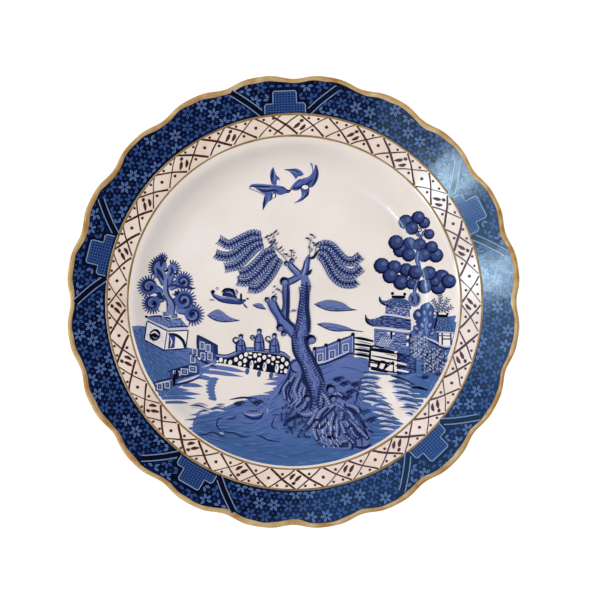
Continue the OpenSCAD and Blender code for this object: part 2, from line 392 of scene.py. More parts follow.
def ripple(tree, shader, place, size_mm, depth_mm, smooth_end, rough_end):
    """Slow waves left in a glaze as it runs in the kiln: they bend reflections and change their sharpness."""
    wave = add_node(tree, "ShaderNodeTexNoise", Vector=place, Scale=1 / (size_mm * MM), Detail=2.0)
    bump = add_node(tree, "ShaderNodeBump", Strength=1.0, Distance=depth_mm * MM, Height=wave.outputs[0])
    tree.links.new(bump.outputs[0], shader.inputs["Normal"])
    rough = add_node(tree, "ShaderNodeMapRange", _0=wave.outputs[0], _1=0.3, _2=0.7, _3=smooth_end,
                     _4=rough_end)
    tree.links.new(rough.outputs[0], shader.inputs["Roughness"])
    return wave.outputs[0]


def mottled(tree, shader, place, size_mm, *stops):
    """Colour that drifts with a noise between the stops, each a place on the noise and a hex colour."""
    cloud = add_node(tree, "ShaderNodeTexNoise", Vector=place, Scale=1 / (size_mm * MM), Detail=4.0)
    ramp = add_node(tree, "ShaderNodeValToRGB", Fac=cloud.outputs[0])
    colour_stops(ramp, stops)
    tree.links.new(ramp.outputs[0], shader.inputs["Base Color"])
    return ramp.outputs[0]


def colour_stops(ramp, stops):
    """Sets a ramp's stops."""
    for i, (position, hex_colour) in enumerate(stops):
        element = ramp.color_ramp.elements[i] if i < 2 else ramp.color_ramp.elements.new(position)
        element.position = position
        element.color = linear(hex_colour)


def printed_cobalt(name, hex_colour):
    """Cobalt transfer print under clear glaze: one ink strength, mirror-smooth with the glaze's slow
    ripple."""
    material, tree, shader, place = new_finish(name)
    shader.inputs["Base Color"].default_value = linear(hex_colour)
    ripple(tree, shader, place, size_mm=7, depth_mm=0.02, smooth_end=0.07, rough_end=0.13)
    return material


def clear_glaze_over_white():
    """Warm white earthenware under clear glaze: faint cloudy cream and grey drifts, wet-looking shine."""
    material, tree, shader, place = new_finish("clear_glaze_over_white_earthenware")
    mottled(tree, shader, place, 45, (0.3, WHITE_SHADE), (0.7, WHITE))
    ripple(tree, shader, place, size_mm=16, depth_mm=0.05, smooth_end=0.06, rough_end=0.12)
    return material


def cobalt_wash(name, centre_hex, edge_hex, speck_hex):
    """Wide areas of cobalt stipple: violet-blue in the middle of the plate, greener steel blue towards its
    rim, with cloudy wiping marks and a fine dark stipple. The stipple is drawn at 1.2 mm so that it
    shows."""
    material, tree, shader, place = new_finish(name)
    span = add_node(tree, "ShaderNodeVectorMath", {"operation": "LENGTH"}, _0=place)
    drift = add_node(tree, "ShaderNodeTexNoise", Vector=place, Scale=1 / (18 * MM), Detail=3.0)
    reach = add_node(tree, "ShaderNodeMath", {"operation": "MULTIPLY_ADD"},
                     _0=drift.outputs[0], _1=34 * MM, _2=span.outputs["Value"])
    outward = add_node(tree, "ShaderNodeMapRange", _0=reach.outputs[0], _1=70 * MM, _2=106 * MM, _3=0.0,
                       _4=1.0)
    base = add_node(tree, "ShaderNodeMix", {"data_type": "RGBA"}, Factor=outward.outputs[0],
                    _6=linear(centre_hex), _7=linear(edge_hex))
    stipple = add_node(tree, "ShaderNodeTexNoise", Vector=place, Scale=1 / (1.2 * MM), Detail=1.0)
    sharp = add_node(tree, "ShaderNodeMapRange", _0=stipple.outputs[0], _1=0.5, _2=0.75, _3=0.0, _4=0.5)
    colour = add_node(tree, "ShaderNodeMix", {"data_type": "RGBA"}, Factor=sharp.outputs[0],
                      _6=base.outputs[2], _7=linear(speck_hex))
    tree.links.new(colour.outputs[2], shader.inputs["Base Color"])
    ripple(tree, shader, place, size_mm=9, depth_mm=0.03, smooth_end=0.07, rough_end=0.13)
    return material


def border_ground():
    """Darkest cobalt, printed solid behind the border's flowers: inky, uneven where the ink pooled."""
    material, tree, shader, place = new_finish("solid_dark_cobalt_print")
    mottled(tree, shader, place, 3, (0.35, "#030820"), (0.65, "#0b1c48"))
    ripple(tree, shader, place, size_mm=6, depth_mm=0.03, smooth_end=0.06, rough_end=0.12)
    return material


def ivory_ground():
    """Ivory-tinted glaze of the painted band: pale cream with warmer clouds."""
    material, tree, shader, place = new_finish("ivory_tinted_glaze")
    mottled(tree, shader, place, 22, (0.3, "#e2cfc0"), (0.7, "#f2e7dc"))
    ripple(tree, shader, place, size_mm=12, depth_mm=0.04, smooth_end=0.08, rough_end=0.14)
    return material


def brown_enamel():
    """Red-brown enamel painted over the glaze: thicker and thinner along a stroke, a little duller than
    glaze."""
    material, tree, shader, place = new_finish("red_brown_overglaze_enamel")
    shader.inputs["Base Color"].default_value = linear("#4e2214")
    ripple(tree, shader, place, size_mm=2, depth_mm=0.02, smooth_end=0.2, rough_end=0.35)
    return material


def burnished_gilding(name, worn_hex, bright_hex):
    """Fired liquid gold, hand burnished: brighter and duller in patches, and half matt, since it is a thin
    film of gold and flux over glaze."""
    material, tree, shader, place = new_finish(name)
    mottled(tree, shader, place, 9, (0.3, worn_hex), (0.68, bright_hex))
    ripple(tree, shader, place, size_mm=4, depth_mm=0.03, smooth_end=0.34, rough_end=0.52)
    shader.inputs["Metallic"].default_value = 0.5
    return material


def bare_biscuit():
    """Unglazed fired body on the foot ring: matt, off-white and lightly dusted with grey from handling."""
    material, tree, shader, place = new_finish("bare_fired_earthenware")
    mottled(tree, shader, place, 6, (0.35, "#cfc4b2"), (0.7, "#e7dfd0"))
    ripple(tree, shader, place, size_mm=0.8, depth_mm=0.03, smooth_end=0.62, rough_end=0.8)
    return material


def pale_floor():
    """Matt white paper sweep, over-lit so that it stays white round the plate."""
    material, _, shader, _ = new_finish("white_paper_sweep")
    shader.inputs["Base Color"].default_value = linear("#808080")
    shader.inputs["Roughness"].default_value = 0.9
    shader.inputs["Emission Color"].default_value = (1, 1, 1, 1)
    shader.inputs["Emission Strength"].default_value = FLOOR_GLOW
    return material


WHITE, WHITE_SHADE = "#f1ece6", "#e6dfd9"
FLOOR_GLOW = 0.93
TONES = {
    "ink": printed_cobalt("cobalt_print_black_blue", "#080b20"),
    "navy": printed_cobalt("cobalt_print_navy", "#1c2754"),
    "deep": printed_cobalt("cobalt_print_deep", "#31427e"),
    "blue": printed_cobalt("cobalt_print_blue", "#4a5b9c"),
    "steel": printed_cobalt("cobalt_print_steel", "#3d588c"),
    "mid": printed_cobalt("cobalt_print_mid", "#6071ac"),
    "soft": printed_cobalt("cobalt_print_soft", "#7282b4"),
    "pale": printed_cobalt("cobalt_print_pale", "#98a6cb"),
    "mist": printed_cobalt("cobalt_print_mist", "#c2c9de"),
    "grey": printed_cobalt("cobalt_print_grey", "#6f7894"),
    "slate": printed_cobalt("cobalt_print_slate", "#4f5f85"),
    "ball": printed_cobalt("cobalt_print_tuft", "#334275"),
    "ball_core": printed_cobalt("cobalt_print_tuft_light", "#53638f"),
    "wash_dark": printed_cobalt("cobalt_print_wash_shade", "#3c5290"),
    "wash_light": printed_cobalt("cobalt_print_wash_light", "#6a7fb4"),
    "white": printed_cobalt("white_reserve_in_print", "#ece8e8"),
    "wash": cobalt_wash("cobalt_print_wash", "#6072b0", "#44689f", "#45568f"),
    "petal": printed_cobalt("border_print_petal", "#5c7bb0"),
    "petal_mid": printed_cobalt("border_print_faint_petal", "#37568f"),
    "petal_dark": printed_cobalt("border_print_shade", "#12285a"),
    "border_line": printed_cobalt("border_print_line", "#7690b8"),
    "enamel": brown_enamel(),
}

# ---- Body and glaze ----
last_ring_r = 118        # outermost round ring of the body; beyond it the rings follow the scallops


def lip_section(inset, d0):
    """Section round the lip, as distances in from the edge and heights above the face there: along the face
    from d0 to the lip, round it in a half circle, and back along the underside; all moved in by inset."""
    radius = lip_round - inset
    sweep = np.linspace(math.pi / 2, -math.pi / 2, 13)[1:-1]
    top_d = np.linspace(d0, lip_round, 4)
    distance = np.concatenate([top_d, lip_round - radius * np.cos(sweep), top_d[::-1]])
    height = np.concatenate([0 * top_d - inset, -lip_round + radius * np.sin(sweep),
                             0 * top_d - lip_t + inset])
    return distance[:, None], height[:, None]


def make_body():
    """Fired body, a turned section under the glaze: face, lip, back, foot ring and recess."""
    edge = edge_radius(around(480))[None, :]
    face_r = np.concatenate([steps(0, floor_r, 10), steps(floor_r + 1, well_r, 22),
                             steps(well_r + 4, last_ring_r, 6)])
    near_r = face_r * np.ones_like(edge)
    near_z = face_height(near_r) - skin
    lip_d, lip_z = lip_section(skin, 4.0)
    lip_r = edge - lip_d
    lip_height = face_height(lip_r) + lip_z
    back_r = steps(last_ring_r + 2, foot_r, 26) * np.ones_like(edge)
    back_z = back_height(back_r) + skin
    foot = np.array([[foot_r - 0.3, 1.2], [foot_r - 0.7, 0.35], [foot_r - 1.5, 0], [foot_in + 1.5, 0],
                     [foot_in + 0.7, 0.35], [foot_in + 0.3, 1.2], [foot_in, recess_z],
                     [foot_in - 0.1, recess_z + skin], [foot_in / 2, recess_z + skin], [0, recess_z + skin]])
    foot_radii = foot[:, :1] * np.ones_like(edge)
    foot_z = foot[:, 1:] * np.ones_like(edge)
    return spun("china_body", np.concatenate([near_r, lip_r, back_r, foot_radii]),
                np.concatenate([near_z, lip_height, back_z, foot_z]), bare_biscuit())


def face_layer(name, radii, material):
    """Layer on the face: out along the face, and back a skin's thickness lower."""
    heights = face_height(radii)
    turns = np.ones((1, 480))
    return spun(name, np.concatenate([radii, radii[::-1]]) * turns,
                np.concatenate([heights, heights[::-1] - skin]) * turns, material)


def make_well_glaze():
    """Glaze over the well, from the axis to the inner gilt line."""
    radii = np.concatenate([steps(0, floor_r, 14), steps(floor_r + 0.5, well_r + 0.4, 34)])
    return face_layer("well_glaze", radii, clear_glaze_over_white())


def make_band_glaze():
    """Ivory ground of the painted band, between the two gilt lines."""
    return face_layer("ivory_band", steps(well_r + 0.2, band_r + 0.2, 12), ivory_ground())


def make_border_ground():
    """Dark printed ground of the border: from the outer gilt line to the gilding, following the scallops."""
    edge = edge_radius(around(800))[None, :]
    share = steps(0, 1, 16)
    rings = band_r - 0.2 + share * (edge - 2.6 - band_r + 0.2)
    rings = np.concatenate([rings, rings[::-1]])
    heights = face_height(rings) - np.repeat([0.0, skin], 16)[:, None]
    return spun("border_ground", rings, heights, border_ground())


def make_gilt_edge():
    """Gilding round the lip: a wavering line on the face, over the rounded lip and a little way down the
    back."""
    angle = around(960)
    edge = edge_radius(angle)[None, :]
    waver = 0.22 * np.sin(7 * angle + 1) + 0.16 * np.sin(23 * angle) + 0.1 * np.sin(61 * angle + 2)
    outer_d, outer_z = lip_section(-0.03, gilt_w + 0.6)
    inner_d, inner_z = lip_section(skin, gilt_w + 0.6)
    reach = np.where(outer_d > lip_round, (outer_d - lip_round) / (gilt_w - lip_round), 0)
    outer_r = edge - outer_d - reach * waver[None, :]
    inner_r = edge - inner_d[::-1] - 0 * angle
    return spun("gilt_edge", np.concatenate([outer_r, inner_r]),
                np.concatenate([face_height(outer_r) + outer_z, face_height(inner_r) + inner_z[::-1]]),
                burnished_gilding("burnished_edge_gilding", "#c88d45", "#f3cf93"), crease=60)


def make_back_glaze():
    """Glaze over the back, from the foot ring out to the gilding."""
    edge = edge_radius(around(480))[None, :]
    share = steps(0, 1, 34)
    rings = foot_r + share * (edge - gilt_w + 0.1 - foot_r)
    outer = back_height(rings)
    return spun("back_glaze", np.concatenate([rings, rings[::-1]]),
                np.concatenate([outer, outer[::-1] + skin]), clear_glaze_over_white())


def make_recess_glaze():
    """Glaze on the ceiling of the recess inside the foot ring, drawn up a little where it meets the ring."""
    radii = np.concatenate([steps(0, foot_in - 2, 12), steps(foot_in - 1.5, foot_in - 0.05, 5)])
    rise = recess_z - 0.5 * np.clip((radii - foot_in + 1.6) / 1.6, 0, 1) ** 2
    turns = np.ones((1, 240))
    return spun("foot_recess_glaze", np.concatenate([radii, radii[::-1]]) * turns,
                np.concatenate([rise, 0 * rise + recess_z + skin]) * turns, clear_glaze_over_white())


def make_gilt_line(name, radius, width, shift, material):
    """Hand-banded gilt line: a low rounded bead a little off centre, whose width and edge waver with the
    hand."""
    angle = around(720)
    centre = radius + shift[0] * np.cos(angle) + shift[1] * np.sin(angle)
    wide = width * (1 + 0.12 * np.sin(5 * angle) + 0.08 * np.sin(17 * angle + 1))
    across = np.linspace(-0.5, 0.5, 7)[:, None]
    rings = centre + across * wide
    crown = 0.16 * (1 - (2 * across) ** 2) - 0.02
    heights = face_height(rings) + crown
    under = rings[::-1]
    return spun(name, np.concatenate([rings, under]), np.concatenate([heights, face_height(under) - 0.2]),
                material)


settle(make_body(), "china", "china_body")
settle(make_well_glaze(), "clear_glaze", "well_glaze")
settle(make_back_glaze(), "clear_glaze", "back_glaze")
settle(make_recess_glaze(), "clear_glaze", "foot_recess_glaze")
settle(make_band_glaze(), "ivory_ground", "ivory_band")
settle(make_border_ground(), "border_blue", "border_print")
settle(make_gilt_edge(), "gilding", "gilt_edge")
line_gold = burnished_gilding("burnished_line_gilding", "#96703e", "#c8a468")
settle(make_gilt_line("gilt_line_inner", radius=98.9, width=1.2, shift=(0.5, -0.3), material=line_gold),
       "gilding", "gilt_line_inner")
settle(make_gilt_line("gilt_line_outer", radius=111.2, width=1.3, shift=(0.6, 0.0), material=line_gold),
       "gilding", "gilt_line_outer")

# ---- Painted lattice band ----
diamond = 8.87           # degrees between crossings; forty leave a narrow one at the transfer's join
first_crossing = 97.8
band_low, band_high = 99.6, 110.8
sprig = (((105.4, -3.6), (103.6, -2.4), (101.9, -0.2)), ((106.4, -0.6), (104.8, 1.0), (102.8, 3.4)),
         ((108.0, -2.6), (107.5, -1.4), (107.1, -0.2)))


def lattice():
    """Forty diamonds of crossing brush lines, thick one way and thin the other; in each diamond by turns a
    dot or a three-stroke sprig, one dot in each inner triangle and two in each outer one."""
    motif = Print(0.03)
    crossing = first_crossing + diamond * np.arange(41)
    t = np.linspace(0, 1, 9)
    radius = band_low + (band_high - band_low) * t
    for lean, width in ((1, 1.25), (-1, 0.8)):
        wave = 0.1 * np.sin(5 * crossing[:, None] + 9 * t)
        swell = width * (0.85 + 0.25 * np.sin(3 * crossing)[:, None] * np.sin(math.pi * t) + 0.2 * (1 - t))
        motif.add("enamel", ribbon(polar(radius, crossing[:, None] + lean * (-4.1 + 8.2 * t) + wave), swell))
    centres = crossing[:40] + diamond / 2
    motif.dots("enamel", 2.0, polar(105.3, centres[::2]))
    for degrees in centres[1::2]:
        for stroke in sprig:
            motif.leaf("enamel", 2.0, *at_angle(np.array(stroke), degrees))
    motif.dots("enamel", 1.75, polar(np.full(40, 102.4), crossing[:40]))
    motif.dots("enamel", 1.6, *[polar(109.2, crossing[:40] + side) for side in (-1.5, 1.5)])
    motif.build("lattice_enamel", "brown_enamel", "lattice_enamel")


# ---- Blue border ----
panel_angles = (92.5, 166, 240, 314, 27)
diaper_columns = 88
diaper_row = 7.2         # radial distance between rows of flowers
diaper_middle = 120.7    # radius of the middle row
diaper_turn = 2.65       # degrees that the flowers' first column is turned from +X
petal_margin = 2.9       # least distance of a petal inside the scalloped edge
bud_margin = 3.4         # the same for a bud
bay_steps = ((119.6, 14.5), (127, 9.2))     # radius and half width kept clear at each step of a panel
bay_turn = 0.4           # radians from a panel's middle that its bars can reach
bar_clear = 3.1          # half width kept clear along a bar
bar_polar = np.array([[112.0, 6.7], [119.5, 10.0], [127.2, 13.4], [128.9, 14.2]])


def bar_reach(r):
    """Half angle of the panel's bay at radius r: where its slanting bars stand."""
    return np.interp(r, bar_polar[:, 0], bar_polar[:, 1])


def diaper():
    """Six-petalled flowers in staggered rows: u counts columns round the plate and v rows outwards, and a
    flower stands where u + v/2 is whole. Each petal is a pointed oval with a dark slit, and reaches toward
    the next flower's. A bud stands in the middle of every three flowers."""
    motif = Print(0.03)
    pitch = 360 / diaper_columns
    u, v = np.meshgrid(np.arange(2 * diaper_columns) / 2, np.arange(-1, 2), indexing="ij")
    whole = (np.round(2 * u + v) % 2) == 0
    u, v = u[whole], v[whole]
    strength = np.sin(12.9 * u + 4.1 * v) * np.sin(7.7 * u - 2.3 * v)
    r, degrees = diaper_middle + diaper_row * v, diaper_turn + pitch * u
    centred = in_print(r, degrees, petal_margin)
    for k in range(6):
        way = np.radians(60 * k + 30 + 6 * strength)
        for width, near, far, dark in ((1.5, 0.8, 3.8, False), (0.42, 1.6, 3.2, True)):
            reach = np.linspace(near, far, 7)
            path = placed(r, degrees, reach * np.cos(way)[:, None], reach * np.sin(way)[:, None])
            tip_r = np.hypot(path[:, -1, 0], path[:, -1, 1])
            tip_degrees = np.degrees(np.arctan2(path[:, -1, 1], path[:, -1, 0]))
            kept = centred & in_print(tip_r, tip_degrees, petal_margin) & clear_of_bays(tip_r, tip_degrees)
            swell = width * np.sin(math.pi * np.linspace(0.06, 0.97, 7))
            for tone, chosen in (("petal", strength > 0.2), ("petal_mid", strength <= 0.2)):
                motif.add("petal_dark" if dark else tone, ribbon(path[kept & chosen], swell))
    for third in (-1, 1):
        bud_r, bud_degrees = r + third * diaper_row / 3, degrees + 0.5 * pitch
        kept = in_print(bud_r, bud_degrees, bud_margin) & clear_of_bays(bud_r, bud_degrees)
        motif.dots("petal_mid", 0.8, polar(bud_r[kept], bud_degrees[kept]))
    motif.build("border_flowers", "border_blue", "border_print")


def placed(r, degrees, out, across):
    """Points given outwards and across from places on the rim, turned to each place."""
    a = np.radians(degrees)[:, None]
    x, y = r[:, None] + out, across
    return np.stack([x * np.cos(a) - y * np.sin(a), x * np.sin(a) + y * np.cos(a)], -1)


def in_print(r, degrees, margin):
    """True for a point above the band and at least the margin inside the scalloped edge."""
    return (r > band_r + 0.9) & (r < edge_radius(np.radians(degrees)) - margin)


def clear_of_bays(r, degrees):
    """True for a point clear of the five stepped panels and of the slanting bars beside them."""
    turn = np.radians(np.abs((degrees[:, None] - np.array(panel_angles) + 180) % 360 - 180)).min(1)
    across, out = r * np.sin(turn), r * np.cos(turn)
    panel = np.any([(out < step_r) & (across < half_width) for step_r, half_width in bay_steps], axis=0)
    bar = np.abs(across - r * np.sin(np.radians(bar_reach(r)))) < bar_clear
    return ~panel & ~(bar & (turn < bay_turn))


def panels():
    """Five bays: two slanting near-black bars with pale edges, and between them a stepped panel of small
    net with a pale outline on a near-black ground."""
    motif = Print(0.06)
    steps_out = ((2.0, 13.6, 8.4, "ink"), (0.0, 11.9, 6.8, "petal_dark"))
    outline = [(111.8, 12), (116.4, 12), (117.5, 11), (117.5, 6.9), (124, 6.9), (124.8, 6.1), (124.8, -6.1),
               (124, -6.9), (117.5, -6.9), (117.5, -11), (116.4, -12), (111.8, -12)]
    for centre in panel_angles:
        for side in (-1, 1):
            long = smooth(polar(bar_polar[:, 0], centre + side * bar_polar[:, 1]), 10)
            motif.add("border_line", ribbon(long, 4.1))
            motif.add("ink", ribbon(long, 2.9))
        for grow, brim, crown, tone in steps_out:
            motif.add(tone, at_angle(np.array([[(111.9, -brim), (111.9, brim)],
                                               [(117.2 + grow, -brim), (117.2 + grow, brim)]]), centre))
            motif.add(tone, at_angle(np.array([[(112, -crown), (112, crown)],
                                               [(124.4 + grow, -crown), (124.4 + grow, crown)]]), centre))
        motif.add("border_line", ribbon(at_angle(np.array(outline), centre), 0.7))
        for r, reach in [(113.1 + 1.5 * k, 11.2 if k < 3 else 6.1) for k in range(8)]:
            motif.add("petal_mid", ribbon(at_angle(np.array([(r, -reach), (r, reach)]), centre), 0.4))
        for x in np.arange(-6, 7) * 1.75:
            top = 124.2 if abs(x) < 6.2 else 117.2
            motif.add("petal_mid", ribbon(at_angle(np.array([(112.0, x), (top, x)]), centre), 0.4))
    motif.build("border_panels", "border_blue", "border_print", "rim_glaze")


lattice()
diaper()
panels()

# ---- Printed scene: helpers ----


def hatch(m, tone, width, one_side, other_side, rows, columns, fill=0.6, phase=0.0):
    """Broken lines between two curves, which they follow: rows of them, each cut into columns. A stroke's
    start, length and width vary by sines of its row and column, so that no two rows match."""
    a, b = (smooth(np.array(side, float), 60) for side in (one_side, other_side))
    row, column = np.meshgrid(np.arange(rows), np.arange(columns), indexing="ij")
    wave = np.sin(2.3 * row + 5.1 * column + phase)
    half = 0.5 * fill * (1 + 0.35 * np.sin(3.7 * row + 1.9 * column + 2 * phase))
    middle = column + 0.5 + 0.3 * wave
    t = np.clip((middle + half * np.linspace(-1, 1, 5)[:, None, None]) / columns, 0, 1)
    share = np.clip((row + 0.5 + 0.25 * np.sin(4.1 * column + row + phase)) / rows, 0, 1)[None, :, :, None]
    at = np.linspace(0, 1, 60)
    ends = [np.stack([np.interp(t, at, side[:, k]) for k in (0, 1)], -1) for side in (a, b)]
    path = (ends[0] * (1 - share) + ends[1] * share).transpose(1, 2, 0, 3)
    swell = width * (0.8 + 0.3 * wave)[..., None] * np.array([0.35, 0.9, 1, 0.9, 0.35])
    m.add(tone, ribbon(path, swell))


def arc(centre, r, start, stop, count=9):
    """Points along an arc about a centre, between two angles in degrees."""
    return [tuple(p) for p in np.array(centre) + polar(r, np.linspace(start, stop, count))]


def fan(m, tone, width, centre, start, stop, count, near, far):
    """Ticks pointing out from a centre, from one radius to another, spread between two angles."""
    ray = polar(1.0, np.linspace(start, stop, count))[:, None]
    reach = np.linspace(near, far, 3)[None, :, None]
    m.add(tone, ribbon(np.array(centre, float) + ray * reach, width * np.array([1, 0.9, 0.5])))


def lobe(m, centre, r, seed, start, stop, count):
    """Curled leaf: a blue disc with a dark spiral line winding in to its seed, a light one beside it, and
    ticks."""
    m.dots("blue", 2 * r, centre)
    turn = np.linspace(start - 30, stop + 150, 16)
    shrink = np.linspace(0.86, 0.2, 16)
    m.line("navy", 0.36 * r, *(np.array(centre) + polar(r * shrink, turn)), tail=0.6)
    m.line("soft", 0.15 * r, *(np.array(centre) + polar(r * (shrink - 0.2)[:12], turn[:12])))
    m.dots("ink", 0.45 * r, seed, long=1.3, turn=40)
    fan(m, "deep", 1.0, centre, start, stop, count, 0.9 * r, 1.4 * r)


def knob(m, x, y, r):
    """Cut end of a limb: a dark disc with a lighter one down and right of its middle, and a small light one
    in that, which leaves a dark crescent over the top."""
    m.dots("navy", 2 * r, (x, y))
    m.dots("ink", 1.5 * r, (x - 0.2 * r, y + 0.3 * r), long=1.1, turn=40)
    m.dots("mid", 1.3 * r, (x + 0.12 * r, y - 0.25 * r), long=1.1, turn=40)
    m.dots("soft", 0.5 * r, (x + 0.2 * r, y - 0.1 * r), long=1.4, turn=40)


def frame_block(m, width, height, *places, lean=-0.12):
    """Fret frames: a pale oblong with a dark one in it, leaning with the rail that they stand under."""
    for tone, cut in (("mist", 0.0), ("navy", 1.1), ("soft", 2.3)):
        w, h = max(0.3, width - cut) / 2, max(0.3, height - cut) / 2
        if min(width, height) - cut > 0.2:
            corner = np.array([[(-w, h - lean * w), (w, h + lean * w)],
                               [(-w, -h - lean * w), (w, -h + lean * w)]])
            m.add(tone, np.array(places, float)[:, None, None] + corner)


# ---- Printed scene: sky ----


def birds():
    """Two birds meeting beak to beak: bodies and wings are sheets between smooth curves, feathers are
    strokes."""
    m = Print(0.09)
    m.patch("blue", [(-26.8, 68), (-25, 70), (-20, 70.4), (-14, 69.8), (-9, 69.3), (-5.5, 68.4),
                     (-3.3, 66.4)],
            [(-26.8, 68), (-24, 68.4), (-21, 66.5), (-17, 64.2), (-12, 65.2), (-8, 63.6), (-3.3, 65.2)])
    m.patch("blue", [(-13, 70), (-14, 74), (-13.6, 78), (-12, 80.4)],
            [(-10.5, 69.5), (-8.2, 73), (-10.5, 76), (-12, 80.4)])
    m.patch("blue", [(-17.5, 65), (-17, 62), (-18.3, 59.5), (-18.4, 54.2)],
            [(-13, 65.5), (-12.5, 61.5), (-15.5, 59), (-18.4, 54.2)])
    m.patch("blue", [(-2.3, 67.3), (0.5, 70.8), (4, 73.6), (8, 74.2), (11, 77), (10.8, 80.5), (9.6, 82.9)],
            [(-2.3, 67.3), (1, 66.2), (4, 67), (7, 68.5), (11, 68.3), (13.7, 71.5), (15, 76), (14, 81.3)])
    m.patch("blue", [(-5.8, 78.9), (-2, 79.2), (1.5, 79.4), (4.5, 78), (6.2, 75.8)],
            [(-5.8, 78.9), (-2.5, 77.6), (-0.3, 75.3), (1.2, 73.2)])
    m.patch("blue", [(4.2, 67), (4.8, 64), (3.8, 61.5), (-0.3, 58.5)],
            [(9.5, 67), (9, 64), (6.5, 61.4), (4.5, 60), (-0.3, 58.5)])
    m.patch("white", [(11.2, 83), (11.6, 80), (12, 78)], [(12.8, 82.6), (12.4, 80), (12, 78)])
    for stroke in ([(-25, 68.9), (-20, 69), (-14, 68.6)], [(-22, 67.3), (-17, 66), (-12, 66.6), (-9, 65.6)],
                   [(-13, 71), (-12.8, 75), (-12, 79)], [(-17.3, 63), (-17.4, 59), (-18.2, 55.4)],
                   [(11, 69), (13, 72.5), (14.2, 77), (13.7, 80.5)],
                   [(0, 67.4), (4, 68.3), (8, 70.2), (11.5, 73)],
                   [(-5, 78.8), (-1, 78.2), (3, 77)], [(8.7, 66), (8, 63.5), (4.5, 61)]):
        m.line("navy", 1.2, *stroke)
    for stroke in ([(-24, 69.6), (-19, 69.8), (-15, 69.3)], [(-20, 67.8), (-15, 67.4), (-11, 67.8)],
                   [(-11.3, 72), (-11, 75), (-11.8, 78)], [(-15, 64), (-14.8, 61), (-17, 57.5)],
                   [(6, 72.5), (9.5, 74.5), (11.8, 78)], [(6.5, 65.5), (6, 63), (2.5, 60.4)],
                   [(-3, 78.4), (0.5, 77.4), (3, 76)], [(1.5, 69.5), (4.5, 71.3)]):
        m.line("soft", 0.7, *stroke)
    m.dots("navy", 4.2, (6.9, 68.3), long=1.3)
    m.dots("navy", 3.0, (-11.8, 63.4), long=1.2, turn=70)
    m.dots("white", 2.6, (6.9, 68.3), long=1.5)
    m.dots("white", 1.4, (4, 74), long=2.6, turn=-10)
    m.dots("white", 1.5, (-9.3, 71.5), (-11.8, 63.2), long=1.9, turn=78)
    m.dots("ink", 1.1, (-6.5, 68.2), (0.4, 67.9))
    for beak in ([(-4.5, 66.9), (-3.3, 66.4), (-1.9, 66.8)], [(-4.3, 65.2), (-2.9, 65.4), (-1.4, 66.9)]):
        m.line("ink", 0.8, *beak, tip=0.7)
    m.fringe("deep", 0.45, [(-26, 68.2), (-21, 66.2), (-17, 64.2)], 1.0, 0.2, 1.1, lean=-0.6, sides=(-1,))
    m.build("two_birds", "blue_print", "centre_print")


def clouds():
    """Four long clouds of ruled sheets, with dark undersides and pale broken lines along them."""
    m = Print(0.09)
    for top, low in (([(12, -1.3), (16, 0.3), (21, 1.3), (26, 0.6), (30, -0.8), (34, -3.6), (37.5, -4.8)],
                      [(12, -1.3), (16, -3.6), (20, -5.2), (25, -5.8), (30, -5.6), (34, -5.1), (37.5, -4.8)]),
                     ([(13.7, -13.2), (17, -12.3), (21, -12.4), (26, -13.2), (31, -14.6), (36, -16.6),
                       (41.5, -17.8)],
                      [(13.7, -13.2), (17, -14.8), (21, -16.8), (26, -17.7), (31, -17.3), (36, -17.3),
                       (41.5, -17.8)]),
                     ([(-51.5, -7.8), (-49, -5.9), (-45.5, -4.4), (-42.5, -5.6), (-39.5, -8), (-36, -9.8),
                       (-32, -11)],
                      [(-51.5, -7.8), (-49.5, -9.7), (-46, -11.5), (-42, -12.2), (-38, -12), (-35, -11.5),
                       (-32, -11)]),
                     ([(-24.5, -1.8), (-22, -0.8), (-19, -1.2), (-16.5, -4.5)],
                      [(-24.5, -1.8), (-22, -3.4), (-19, -4.2), (-16.5, -4.5)])):
        m.patch("grey", top, low, rows=24)
        a, b = np.array(top, float), np.array(low, float)
        m.patch("mid", list(a * 0.82 + b * 0.18), list(a * 0.12 + b * 0.88), rows=24)
        hatch(m, "soft", 0.5, list(a * 0.8 + b * 0.2), list(a * 0.2 + b * 0.8), 4, 5, 0.7, a[0, 0])
        hatch(m, "deep", 0.45, list(a * 0.5 + b * 0.5), list(a * 0.05 + b * 0.95), 3, 5, 0.6, a[0, 0] + 1)
        m.line("navy", 0.6, *(a * 0.06 + b * 0.94), tip=0.2, tail=0.2)
    m.build("low_clouds", "blue_print", "centre_print")


# ---- Printed scene: willow ----
plume_spines = (
    ((-19.5, 39), (-24, 40.3), (-29, 38.3), (-34, 35.8), (-39, 34), (-44.5, 37)),
    ((-18.5, 37), (-23, 36.3), (-29, 33), (-34, 29), (-39, 27), (-44, 27.5), (-46.5, 28.5)),
    ((-18, 34.3), (-22.5, 32.5), (-27, 28), (-31, 24), (-35, 21.5), (-41, 20.3)),
    ((-11, 30), (-16, 29), (-20, 25), (-24, 21), (-28, 18), (-32.5, 17)),
    ((-10, 28), (-14, 25), (-18, 20), (-23, 15), (-28, 12), (-33.5, 12.5)),
    ((-8.5, 26), (-11, 21), (-14, 16), (-18, 11), (-22, 8), (-27, 8.3)),
    ((15, 32.5), (19, 34), (23, 32.5), (27, 28), (31, 24.5), (36, 24.3), (40, 27.5)),
    ((15.5, 31), (19.5, 30.5), (23, 26), (26, 21), (31, 17.5), (36, 17), (40.5, 20.5)),
    ((15, 28.5), (18, 26), (21, 21), (24, 15.5), (29, 11.5), (35, 11), (37.5, 12.5)))
